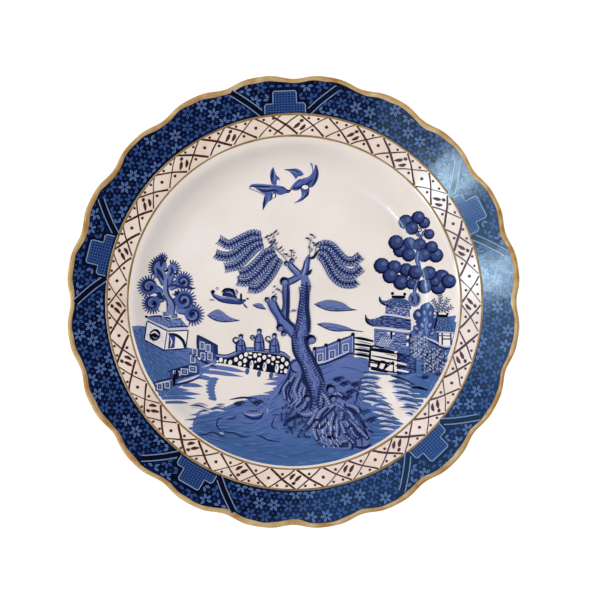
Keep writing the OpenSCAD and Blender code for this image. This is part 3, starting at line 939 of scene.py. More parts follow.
twig_leaves = (((-17.2, 38.2), (-15.8, 39.4)), ((-14.7, 39.3), (-13.2, 40.3)), ((-12, 41), (-10.4, 42.5)),
               ((-14.6, 35.3), (-13.2, 36.4)), ((-12.6, 35.4), (-11.3, 36.8)), ((-14.5, 32.8), (-13, 34.2)),
               ((-9.2, 31.3), (-7.5, 32.7)), ((-6, 29), (-3.8, 27.8)), ((-2.2, 31.2), (-0.8, 30)),
               ((0.3, 28.2), (-1, 27)), ((7.2, 38.5), (9, 37.2)), ((9.8, 40.8), (11.3, 38.8)),
               ((11.3, 36), (12, 33.7)), ((12, 33.5), (14.5, 35.3)), ((9.3, 33.5), (8.8, 31)),
               ((-11, 10), (-12.5, 8.3)), ((-12, 6.5), (-13.3, 5)), ((-9.5, 8), (-8.6, 6)))


def willow_plumes():
    """Nine drooping plumes: round each spine a violet-blue sheet, then rows of ticks leaning with the hang,
    pale ones between dark ones, and the dark spine; leaflets stand on the bare twigs."""
    m = Print(0.09)
    for spine in plume_spines:
        m.line("pale", 6.0, *spine, tip=0.5, tail=0.45)
        m.line("soft", 5.0, *spine, tip=0.5, tail=0.45)
    for spine in plume_spines:
        m.fringe("deep", 0.62, spine, 1.15, 1.3, 3.1, lean=1.0)
        m.fringe("mist", 0.5, spine, 1.7, 1.0, 2.3, lean=0.9)
        m.line("deep", 2.9, *spine, tip=0.5, tail=0.6)
        m.fringe("navy", 0.5, spine, 1.3, 0.1, 1.7, lean=0.8)
        m.fringe("pale", 0.4, spine, 1.9, 0.35, 1.35, lean=0.7)
        m.line("navy", 1.0, *spine, tip=0.7, tail=0.5)
    for twig in ([(8, 24), (9.5, 29), (9.3, 33.5), (10.5, 38)], [(11.5, 26.3), (13, 30), (13.3, 34)],
                 [(-3.3, 23.5), (-6, 27), (-9, 30), (-13, 34), (-16, 38)], [(-9, 30), (-11.5, 36), (-12, 41)],
                 [(-1, 24.5), (-1.4, 28), (-1.4, 31)]):
        m.line("grey", 0.4, *twig, tail=0.5)
    for (x0, y0), (x1, y1) in twig_leaves:
        m.leaf("navy", 1.0, (x0 - 0.4, y0 - 0.3), ((x0 + x1) / 2 + 0.5, (y0 + y1) / 2), (x1 + 0.5, y1 + 0.7))
        m.leaf("grey", 0.8, (x0 + 1.4, y0 - 1.4), ((x0 + x1) / 2 + 1.9, (y0 + y1) / 2 - 1.2),
               (x1 + 1.6, y1 - 1.2))
    m.build("willow_plumes", "blue_print", "centre_print")


def willow_trunk():
    """Bent trunk and limbs: light blue sheets between smooth sides, with broken light and dark strokes
    along them, ticks in from both edges and dark lines down them; the limbs are edged with dark lines and
    ticks, and a cut end shows as a dark crescent."""
    m = Print(0.3)
    left = [(4.5, 11), (4.2, 5), (3.2, -3), (2.4, -11), (0.5, -16), (-0.8, -22), (0, -28), (1, -33),
            (4.6, -39), (6.6, -46), (9.2, -53), (10.6, -60), (9, -65)]
    right = [(10.3, 10), (9.4, 4.5), (9.2, -3), (10, -11), (10, -17), (8.6, -22), (9.6, -28), (12, -34),
             (14.6, -39.5), (18.3, -47), (17.3, -53), (15.6, -58), (17.5, -65)]
    limbs = (([(-6.5, 9.5), (-6.4, 4), (-6.2, -2), (-7.5, -7)],
              [(-2.6, 10), (-2.6, 4), (-2.7, -4), (-3, -10)]),
             ([(-16.6, 1), (-13.5, -5), (-10, -10), (-9.8, -13)],
              [(-10.8, 1), (-8.6, -4), (-6.5, -7), (-5, -10)]),
             ([(-9.8, -11), (-8, -15.8), (-4.5, -17), (-1.5, -21.5)],
              [(-4, -10), (-1, -13.5), (1.4, -17), (2, -22)]))
    for a, b in limbs:
        m.patch("mid", a, b)
    m.line("mid", 4.2, (-5.5, 12.5), (-4, 11.5), (0, 13.3), (4, 16), tip=0.8, tail=0.9)
    m.line("mid", 3.4, (4, 16), (0, 19.5), (-3.3, 23.5), tip=0.9, tail=0.8)
    m.line("mid", 3.2, (5, 14.5), (7, 19), (8, 24), (9.3, 28), tip=0.9, tail=0.4)
    m.patch("mid", [(4.2, 17.5)] + left, [(8, 16.5)] + right)
    hatch(m, "soft", 0.8, left[1:], right[1:], 4, 9, 0.7)
    hatch(m, "deep", 0.7, left[1:], right[1:], 7, 13, 0.6, 2.0)
    for a, b in limbs:
        for path, side in ((a, 1), (b, -1)):
            m.line("navy", 0.8, *path)
            m.fringe("deep", 0.6, path, 1.3, -0.2, 1.2, lean=0.3, sides=(side,))
    for path in ([(5, 17.2), (1.2, 20.6), (-2.2, 24.4)], [(2.4, 14.8), (-1.2, 18.4), (-4.3, 22.4)],
                 [(3.9, 16.4), (5.6, 20), (6.7, 24.8)], [(7.5, 15.5), (8.5, 19.5), (9.6, 25.2)],
                 [(-5.2, 14.3), (-3, 13.7), (0.8, 15.4)], [(-3, 10.3), (0.5, 11.6), (4, 13.8)]):
        m.line("navy", 0.8, *path)
        m.fringe("deep", 0.5, path, 1.4, -0.5, 0.6, lean=0.3, sides=(1,))
    m.line("navy", 2.2, (7.8, 12), (8, 2), (8, -5), (9, -12), (8.6, -18.5))
    m.line("navy", 1.9, (7, -20), (7.5, -25), (11.5, -33), (15, -40), (18, -47.5))
    m.line("deep", 1.8, (16.5, -48), (15.2, -54), (14.4, -60), (15.5, -65))
    m.line("navy", 1.8, (-1.2, -20), (0.3, -30), (4.6, -38), (6.5, -45), (9.5, -53), (11, -61))
    m.line("navy", 1.8, (-3.6, 10), (-3.5, 0), (-3.5, -10), (0, -14), (1.3, -16))
    m.line("navy", 1.2, (-10.8, 1), (-8.4, -5), (-5.5, -9.5), (-1, -14))
    m.line("deep", 1.0, (-16.3, 0.4), (-13.5, -5), (-10, -10.5), (-8.6, -15.8), (-4.5, -17.6), (-1.5, -21.5))
    m.line("deep", 0.8, (3.2, 9), (3.9, 3), (2.6, -6), (2, -11), (0.2, -16.4))
    m.fringe("navy", 0.75, left, 1.6, -0.3, 3.0, lean=0.9, sides=(1,))
    m.fringe("navy", 0.75, right, 1.6, -0.3, 3.2, lean=0.9, sides=(-1,))
    m.fringe("deep", 0.5, limbs[1][0], 1.4, 0.1, 1.7, lean=0.4, sides=(1,))
    m.fringe("deep", 0.5, limbs[0][0], 1.4, 0.1, 1.6, lean=0.4, sides=(1,))
    m.line("navy", 0.8, (-5.5, 9.6), (-2, 10.5), (2, 12.5), (4.4, 13.8))
    m.line("deep", 0.8, (8.6, 17), (9.1, 22), (9.4, 27))
    m.line("navy", 1.7, (8.5, 26), (11.5, 26.3), (13, 28), (15.5, 31.5))
    m.line("navy", 2.0, (7, 16.5), (9, 17), (10.7, 19.3))
    m.line("pale", 0.7, (5.6, 15.5), (6.6, 19), (7.5, 24))
    m.line("pale", 0.7, (3.6, 17.2), (0.3, 20), (-2.6, 23))
    for x, y, r in ((-5.5, 12, 2.7), (-15.8, 1.2, 1.6), (-11.6, 2, 1.8), (-8, -15.5, 2.3), (10.5, -22.5, 2.9),
                    (-4.2, 22.8, 1.6), (-1, 24.5, 1.5), (-6, -19, 1.6)):
        knob(m, x, y, r)
    m.dots("grey", 1.5, (0, -5.2), long=2)
    m.build("willow_trunk", "blue_print", "centre_print")


birds()
clouds()
willow_plumes()
willow_trunk()


# ---- Printed scene: banks and water ----
left_bank = ([(-95.8, -14.4), (-88, -14.6), (-80, -18), (-72, -24), (-62, -27.5), (-52, -29), (-45, -31),
              (-44.5, -35), (-49, -39), (-54, -43), (-62, -48), (-70, -51), (-78, -57)],
             [(-95.8, -14.4), (-94.8, -19), (-93.5, -24), (-92, -29), (-90.5, -33.5), (-88.8, -38),
              (-87, -42), (-85.4, -45), (-83.6, -48), (-82, -51), (-80.5, -53.5), (-79.2, -55.5), (-78, -57)])
right_bank = ([(47, -30), (50, -28), (56, -26), (64, -22), (72, -16), (84, -10), (96.5, -8)],
              [(47, -42), (49, -43), (52, -43.5), (62, -44.5), (72, -50), (80, -53), (84, -49)])
island = ([(-60, -76.5), (-58, -68), (-46, -65), (-36, -60.5), (-26, -58), (-17, -57), (-10, -50), (-3, -43),
           (4, -38), (10, -35.5), (16, -37), (27, -32.5), (35, -30.5), (45, -35), (46, -41), (40, -44),
           (41, -51), (45, -59), (50, -66), (55, -72), (61.5, -76.5)],
          [(-60, -77), (-57, -80), (-52, -84), (-46, -87), (-40, -90), (-34, -92.5), (-28, -94.5), (-22, -96),
           (-16, -97), (-10, -98), (-4, -98.5), (2, -98.5), (8, -98), (14, -97.5), (21, -96), (28, -94.5),
           (35, -92), (42, -89), (49, -86), (55, -82), (61.5, -77)])
# Streaks at the water's edge: start, end, width.
flank_streaks = ((3, -43, -12, -43.6, 3.0), (4, -46, -16, -46.2, 3.0), (3, -48.8, -18, -49, 2.6),
                 (3, -51, -13, -51.6, 3.0), (2, -54, -18, -54.3, 3.0), (0, -57, -31, -57.2, 3.0),
                 (-6, -59.5, -36, -60.2, 2.6), (-40, -64.5, -50, -64.2, 1.8), (-40, -67, -62, -67.2, 2.0),
                 (-42, -69.8, -65, -70, 1.8), (-44, -72.4, -61, -72.8, 1.8), (-46, -75, -66, -75.4, 2.0),
                 (-50, -78, -63, -77.4, 2.0), (-82, -52, -62, -52.6, 2.6), (-80, -54.6, -55, -55, 2.6),
                 (-78, -57, -58, -57.6, 2.2), (-76, -59.6, -62, -60.2, 1.8), (-60, -44, -46, -47, 2.6),
                 (-58, -41, -30, -44.6, 2.4), (-50, -38.5, -28, -42, 2.6), (-66, -49.5, -54, -50.4, 2.4),
                 (40, -44.6, 52, -45.6, 2.6), (40, -47.4, 50, -48.4, 2.4), (40, -50, 53, -51.4, 2.4),
                 (41, -53, 50, -54, 2.6), (42, -56, 56, -57.6, 2.8), (44, -59, 58, -61, 2.6),
                 (47, -62.4, 60, -64, 2.6), (49, -65.4, 60, -67, 2.4), (51, -68.4, 63, -70, 2.6),
                 (54, -71.6, 66, -72.6, 2.4), (57, -74.6, 68, -75, 2.2), (75, -47.6, 57, -47, 2.4),
                 (76, -50.4, 59, -50, 2.4), (78, -53.4, 61, -52.8, 2.6), (79, -56, 60, -56.4, 2.4),
                 (77, -58.8, 62, -58.6, 2.2), (76, -61.4, 65, -61, 2.0), (74, -64, 66, -64, 1.8))


def banks():
    """Washes of the three banks, ruled between their shore lines and cut off where the ivory band begins;
    short strokes and long streaks fray them at the water."""
    m = Print(0.05, limit=print_limit)
    for top, low in (left_bank, right_bank, island):
        m.patch("wash", top, low, rows=40, columns=12)
    for k in range(7):
        x, y = -47.5 - 1.2 * math.sin(0.6 * k), -46 - 1.9 * k
        m.line("wash", 2.6, (x - 3.8 + 0.5 * (k % 2), y), (x, y - 0.2), (x + 2.8 - 0.3 * k, y), tip=0.35,
               tail=0.3)
    m.patch("wash", [(84, -49), (88, -40), (93, -28), (97, -12)], [(80, -53), (74, -48), (76, -30), (80, -8)])
    m.patch("wash", [(84, -42), (90, -40), (94, -36)], [(72, -50), (78, -57), (86, -52)])
    for x0, y0, x1, y1, width in flank_streaks:
        m.line("wash", width, (x0, y0), ((x0 + x1) / 2, (y0 + y1) / 2 + 0.4), (x1, y1), tip=0.9, tail=0.05)
    m.build("bank_washes", "blue_print", "centre_print")


def bank_marks():
    """Brush marks over the banks: rows of broken dark and light lines following each shore, single dark
    strokes, and soft reeds over a hollow at the foot of the island."""
    m = Print(0.09, limit=print_limit)
    for top, low in (left_bank, right_bank, island):
        hatch(m, "wash_dark", 0.7, top, low, 13, 11, 0.75)
        hatch(m, "wash_light", 0.5, top, low, 12, 12, 0.6, 2.0)
    for stroke in ([(-42, -76), (-40, -77.6), (-36, -77.8), (-33, -79), (-30.5, -80.3), (-26, -80.2)],
                   [(-22, -79.3), (-18.5, -80.5), (-15, -82.3), (-8, -83.2)],
                   [(-42, -69), (-45, -70), (-45.5, -74), (-42.5, -77)],
                   [(-39, -69.5), (-36, -69.3), (-34, -67.5)],
                   [(-57, -78.5), (-53, -78.8), (-48, -77.3), (-44, -79.3), (-41, -79.8)],
                   [(-13, -67.3), (-8, -67.3)], [(-11, -68), (-13, -74), (-9, -76)],
                   [(1, -67), (6, -67), (10, -67.8)]):
        m.line("navy", 0.8, *stroke)
    m.line("navy", 1.5, (-30, -67), (-27, -68.5), (-24, -69.5), (-20, -69), (-18, -66))
    m.line("pale", 0.9, (-29, -66.8), (-25, -67.4), (-19, -67))
    m.line("navy", 1.4, (-28, -65.3), (-20, -65))
    m.line("soft", 0.6, (-26, -64.2), (-21, -64))
    m.fringe("soft", 0.6, [(-30, -66.6), (-24, -66.8), (-18, -66)], 1.5, -0.3, 1.7, lean=0.9, sides=(1,))
    m.line("pale", 0.8, (-15.6, -61), (-15.4, -66.5))
    m.line("mist", 1.0, (-44, -77.5), (-41.5, -78.5))
    m.patch("mid", [(-29, -57.5), (-20, -57), (-14.5, -57.5)], [(-24, -59.5), (-19, -64), (-16, -66)])
    hatch(m, "deep", 0.8, [(-29, -57.5), (-20, -57), (-14.5, -57.5)], [(-26, -59), (-20, -63), (-16, -65)], 5,
          5)
    m.line("grey", 1.2, (-46, -61), (-41, -61))
    m.line("navy", 1.2, (-38, -58.2), (-30, -57), (-22, -57.6))
    for a, b in (((58, -44), (72, -49.5)), ((69, -51), (80, -52.5))):
        m.line("ink", 1.5, a, ((a[0] + b[0]) / 2, (a[1] + b[1]) / 2 + 0.8), b)
    m.build("bank_brush_marks", "blue_print", "centre_print")


water_strokes = ((40, -42, 50.5, -43.3, 1.6), (39, -45.3, 51.5, -46.6, 1.8), (39, -48, 48.5, -49, 1.6),
                 (41, -50.2, 50.5, -51.4, 1.6), (38, -52, 47, -53.5, 1.8), (41, -55, 53, -55.8, 1.8),
                 (40, -57.5, 54, -60.5, 2.5), (48, -61, 58, -62.5, 1.8), (46, -64, 58.5, -67, 2.2),
                 (48, -68, 57, -69, 1.8), (50, -71, 61, -72.3, 2.0), (50, -74, 60, -75, 1.7),
                 (56, -47.3, 70, -50, 1.8), (58.5, -50.7, 70, -52.5, 1.8), (58.5, -54, 72, -56, 2.0),
                 (61, -57.5, 74, -60, 2.0), (63, -62.7, 75, -63.5, 1.8), (66, -66, 72, -67.5, 1.6),
                 (-50, -63.5, -41, -64, 1.4), (-62, -61.5, -52, -63, 1.5), (-58, -66, -50, -65, 1.2))


def water():
    """Ripples: tapered strokes, each with a paler one under it and a dark middle, and a thin one above."""
    m = Print(0.09, limit=print_limit)
    for x0, y0, x1, y1, width in water_strokes:
        bend = ((x0 + x1) / 2, (y0 + y1) / 2 + 0.7)
        m.line("mist", width * 0.9, (x0 + 1, y0 - 1.4), (bend[0] + 1, bend[1] - 1.4), (x1, y1 - 1.2), tip=0.1,
               tail=0.1)
        m.line("steel", width * 0.8, (x0, y0), bend, (x1, y1), tip=0.1, tail=0.1)
        m.line("deep", width * 0.3, (x0 + 2, y0), bend, (x1 - 2, y1 + 0.1), tip=0.1, tail=0.1)
        m.line("grey", 0.5, (x0 + 3, y0 + 1.2), (bend[0] + 2, bend[1] + 1.1), (x1 + 1, y1 + 1.1), tip=0.1,
               tail=0.1)
    m.build("water_ripples", "blue_print", "centre_print")


def boat():
    """Small covered boat: hull between two curves, a low cabin with a roof line, a pole, a stern oar."""
    m = Print(0.09)
    m.patch("deep", [(-49.8, 8), (-49, 5.5), (-46, 4.3), (-41, 2.8), (-36, 2.6), (-32, 1.8), (-28, 1.5)],
            [(-49.8, 8), (-48.5, 3.5), (-45, 0.8), (-40, -0.8), (-35, -1.5), (-31, -1.5), (-28.5, 0.5)])
    m.line("soft", 1.2, (-47, 4), (-43, 2.5), (-38, 2.4), (-33, 0.8))
    m.line("navy", 0.9, (-48, 3.4), (-44, 0.6), (-38, -0.8), (-31, -1.2))
    m.patch("navy", [(-42.5, 4.5), (-41, 7.2), (-36.5, 6.8), (-33.5, 2.5)],
            [(-42.5, 3.5), (-40, 3.2), (-37, 2.8), (-33.5, 2.3)])
    m.line("ink", 1.3, (-43, 5.6), (-40.5, 7.6), (-36.5, 7.2), (-34, 4.4))
    m.line("soft", 0.8, (-40.5, 5.8), (-37.5, 5.6), (-36, 4))
    m.line("pale", 0.9, (-35, 6.5), (-33.5, 4))
    m.dots("ink", 2.4, (-48, 6))
    m.dots("grey", 1.8, (-45.5, 8))
    m.dots("white", 0.8, (-45.5, 8))
    m.line("ink", 1.4, (-31.3, 5), (-31.3, 0), tip=0.7)
    m.line("navy", 0.8, (-34.5, 7.8), (-33, 5))
    m.line("ink", 1.2, (-28, 2), (-26.6, 1.8), tip=0.7)
    m.line("deep", 1.2, (-30, -1), (-27.6, -3.8))
    m.line("grey", 1.0, (-50.3, 1.3), (-47, 1))
    m.build("covered_boat", "blue_print", "centre_print")


# ---- Printed scene: trees ----
ball_tree = ((66.8, 47.6, 4.2), (74, 50, 3.8), (70.3, 43.8, 3.8), (77.5, 47, 3.4), (80.5, 40.2, 3),
             (61, 35.3, 4.4), (69, 34.5, 4), (75, 34, 3.8), (82, 32.5, 3.6), (63.5, 30.8, 4.2), (68.5, 28, 4),
             (77.5, 27.8, 4), (84.5, 27.6, 4.2), (52.5, 21.5, 4.6), (60, 20.5, 4.2), (67, 19, 4),
             (72.5, 17.5, 4.2), (80.5, 17, 4.2), (88, 14.5, 4.6), (92, 12.2, 4.2), (57.5, 15.5, 4.4),
             (63.8, 11.5, 4.4), (70, 10.5, 3), (78, 9, 4), (86, 8.8, 4.4), (84, 12, 3))
ball_branches = (((72, 4), (72.3, 9), (74, 14), (74.5, 21), (73.5, 26), (75, 33), (76, 40)),
                 ((72.5, 9), (69, 13), (64, 14.5), (59, 16)), ((73, 9), (77, 12), (84, 12.5)),
                 ((73.5, 25), (70, 30), (65, 33)), ((74, 26), (77, 30), (80, 33)), ((75.5, 38), (72, 43)),
                 ((76, 39), (79, 43)))


def cloud_tree():
    """Tree of ball-shaped tufts, each of five discs that shrink and lighten from near black as they step up
    and right; branches join them behind."""
    m = Print(0.08, limit=print_limit)
    for branch in ball_branches:
        m.line("deep", 2.6, *branch, tail=0.6)
        m.line("soft", 1.0, *branch, tail=0.5)
    balls = np.array(ball_tree)[:, None, None]
    for part in range(3):
        place, r = balls[part::3, :, :, :2], 1.06 * balls[part::3, :, :, 2:]
        for tone, size, shift in (("ink", 2.0, 0.0), ("navy", 1.8, 0.08), ("deep", 1.5, 0.14),
                                  ("ball", 1.15, 0.2), ("ball_core", 0.62, 0.28)):
            m.add(tone, place + r * (shift + oval(size)))
    for width, bough in ((2.0, [(72, 4), (72.3, 8), (73.4, 12)]),
                         (1.8, [(73.8, 22), (73.6, 26), (74.5, 30)])):
        m.line("deep", width, *bough, tail=0.6)
        m.line("soft", 0.8, *bough, tail=0.6)
    m.dots("mid", 7.5, (72, 1.5), long=1.2, turn=90)
    m.dots("navy", 2.6, (75, 42.8))
    m.dots("white", 1.5, (75, 42.8))
    for stroke in ([(69.5, 4), (71, 2), (70, -0.5)], [(73, 4.6), (74.4, 2), (73.4, -1)],
                   [(71, 0), (72.4, -1.6)]):
        m.line("navy", 1.1, *stroke)
    m.build("cloud_tree", "blue_print", "centre_print")


def curled_tree():
    """Tree of curled leaves seen end on, round a forked light trunk, with a dark spike and fruit between."""
    m = Print(0.09)
    m.dots("mid", 9, (-80, 20.5), long=1.5, turn=80)
    m.dots("mid", 6.6, (-72, 19.5))
    fan(m, "navy", 1.1, (-79, 20), 60, 215, 13, 4.2, 7.6)
    fan(m, "navy", 1.0, (-72.5, 19.5), -50, 100, 9, 3, 5.6)
    fan(m, "deep", 0.9, (-78, 26), 10, 170, 7, 1.0, 3.4)
    for a, b in (((-66, 11), (-74, 8)), ((-86, 8), (-78, 5)), ((-84, -1), (-77, 2)), ((-65.5, 1), (-73, -2)),
                 ((-60, -7.5), (-70, -5)), ((-80, 18), (-77, 10)), ((-72, 18), (-75, 10))):
        for tone, width in (("deep", 5.0), ("mid", 3.0)):
            m.line(tone, width, a, ((a[0] + b[0]) / 2, (a[1] + b[1]) / 2 + 1), b, tip=0.8, tail=0.7)
    for centre, r, seed, start, stop, count in (
            ((-66, 12), 4.6, (-65.4, 11.6), -50, 150, 13), ((-86, 9), 5.0, (-84.5, 8.3), 60, 250, 13),
            ((-84, -1), 4.6, (-83, -1), 110, 310, 13), ((-65.5, 1), 5.6, (-65, 0.6), -60, 150, 14),
            ((-60, -7.5), 5.0, (-60, -7), -110, 110, 14)):
        lobe(m, centre, r, seed, start, stop, count)
    m.line("navy", 1.2, (-63, 9), (-61, 8), (-58.5, 8.2))
    m.plank("navy", [(-81.5, 5.5), (-79.5, 6)], [(-80.5, 2), (-76.3, 1)])
    for width, path in ((5.0, [(-73.5, -8), (-73, -1)]), (3.4, [(-73, -1), (-76.6, 5)]),
                        (2.4, [(-76.7, 5), (-76, 15)]), (1.4, [(-76, 15), (-77.5, 18), (-78.5, 20.8)]),
                        (1.4, [(-76, 15), (-74.3, 17.5), (-73.8, 19.3)])):
        m.line("soft", width, *path, tip=0.95, tail=0.85)
    for width, path in ((1.2, [(-71.3, -8), (-70.9, -1), (-74.6, 5), (-75, 14)]),
                        (0.8, [(-75.6, -6), (-75.4, 0), (-78, 5)]),
                        (2.0, [(-77.3, 13), (-79.5, 17), (-81.5, 20)]), (2.4, [(-79, 21), (-78, 27)]),
                        (1.6, [(-74, 15.5), (-72.3, 18), (-72.8, 21)]),
                        (1.3, [(-75, 9), (-72, 10), (-67, 9), (-60, 8)])):
        m.line("navy", width, *path)
    hatch(m, "deep", 0.5, [(-75, -7), (-75, -1)], [(-71.5, -7), (-71.4, -1)], 3, 4)
    m.dots("ink", 2.6, (-76, 19), (-70.2, 17.4), (-69.6, 5.2))
    m.dots("mist", 1.0, (-76.3, 19.4), (-70.5, 17.8))
    m.build("curled_leaf_tree", "blue_print", "centre_print")


shrub_leaves = ((80, -2.5, 2.5, 1.6, 70), (77.8, -6.5, 1.6, 2.2, 100), (81.3, -7, 1.6, 2.2, 75),
                (74.3, -7.5, 3, 1.4, 130), (73, -16, 2, 1.8, 150), (76.5, -14, 2, 1.8, 120),
                (81, -14, 2, 1.8, 60), (83.5, -16.5, 2, 1.8, 40), (75.5, -18.5, 1.8, 1.9, 160),
                (82.5, -18.8, 1.8, 1.9, 30), (78, -11, 1.6, 2, 90), (84, -9, 1.6, 2, 50))


def right_shrubs():
    """Leafed shrub, dotted bushes and sprigs beside the tea house: discs, oval leaves, rows of pale dots."""
    m = Print(0.08, limit=print_limit)
    for x, y, r in ((79.5, -5, 4.5), (75, -8, 4), (78, -15, 6.5), (82, -11, 4)):
        m.dots("deep", 2 * r, (x, y))
    m.line("soft", 2.2, (79.3, -20), (79.2, -14), (79, -9))
    for x, y, w, long, turn in shrub_leaves:
        m.dots("navy", 1.5 * w, (x, y), long=0.8 * long, turn=turn)
        m.dots("mid", 1.05 * w, (x + 0.1, y + 0.1), long=0.9 * long, turn=turn)
        m.dots("pale", 0.4 * w, (x + 0.2, y + 0.3), long=1.5 * long, turn=turn)
    m.dots("white", 1.6, (70.5, -11.8), (72.4, -13.2), (85.2, -13.4))
    for x0, x1, y0, y1, tone in ((69.5, 80, -33, -20, "grey"), (76.5, 90, -42, -27, "slate")):
        m.patch(tone, [(x0, y1 - 1), ((x0 + x1) / 2, y1 + 1), (x1, y1 - 1)],
                [(x0, y0 + 1), ((x0 + x1) / 2, y0 - 1), (x1, y0 + 1)])
        gx, gy = np.meshgrid(np.arange(x0 + 1, x1, 1.9), np.arange(y0 + 1, y1, 1.8))
        for dot, size, shift in (("navy", 1.3, 0.0), ("pale", 0.9, 2.0), ("mist", 0.5, 4.0)):
            px = gx + 0.9 * np.sin(1.7 * gy + 2.9 * gx + shift) + 0.3 * shift
            py = gy + 0.8 * np.sin(2.3 * gx + 1.1 * gy + 2 * shift)
            m.dots(dot, size, np.stack([px, py], -1), long=1.35, turn=30 + 20 * shift)
    for twig in ([(85.5, -7), (85, -2), (82.5, 1.5)], [(85.2, -4), (87.6, 0), (87, 4)],
                 [(85.5, -6), (89.5, -2.5), (91.5, 1.5)], [(87.5, -4.6), (91, -5), (93.5, -3)]):
        m.line("slate", 0.6, *twig, tail=0.6)
        m.fringe("slate", 0.75, twig, 1.5, 0.3, 1.5, lean=0.9)
    for x, y in ((62, -49), (86, -44), (78, -46), (90, -36)):
        fan(m, "navy", 0.7, (x, y), 30, 150, 6, 0.4, 3.2)
    m.build("right_bank_shrubs", "blue_print", "centre_print")


def sprigs():
    """Small grass sprigs along the foreground: fans of thin dark leaves."""
    m = Print(0.3, limit=print_limit)
    for x, y in ((30, -50), (33.5, -55), (36.5, -50.5), (31, -58.5), (42, -67), (46, -71.5), (40, -73),
                 (26, -47.5), (-22, -61.5), (-33, -62)):
        fan(m, "navy", 0.75, (x, y), 25, 155, 7, 0.9, 3.0)
        fan(m, "navy", 0.6, (x + 2.2, y + 1.2), 20, 160, 5, 0.9, 2.4)
        m.dots("ink", 1.0, (x, y))
    m.build("grass_sprigs", "blue_print", "centre_print")


banks()
bank_marks()
water()
boat()
cloud_tree()
curled_tree()
right_shrubs()
sprigs()


# ---- Printed scene: buildings ----


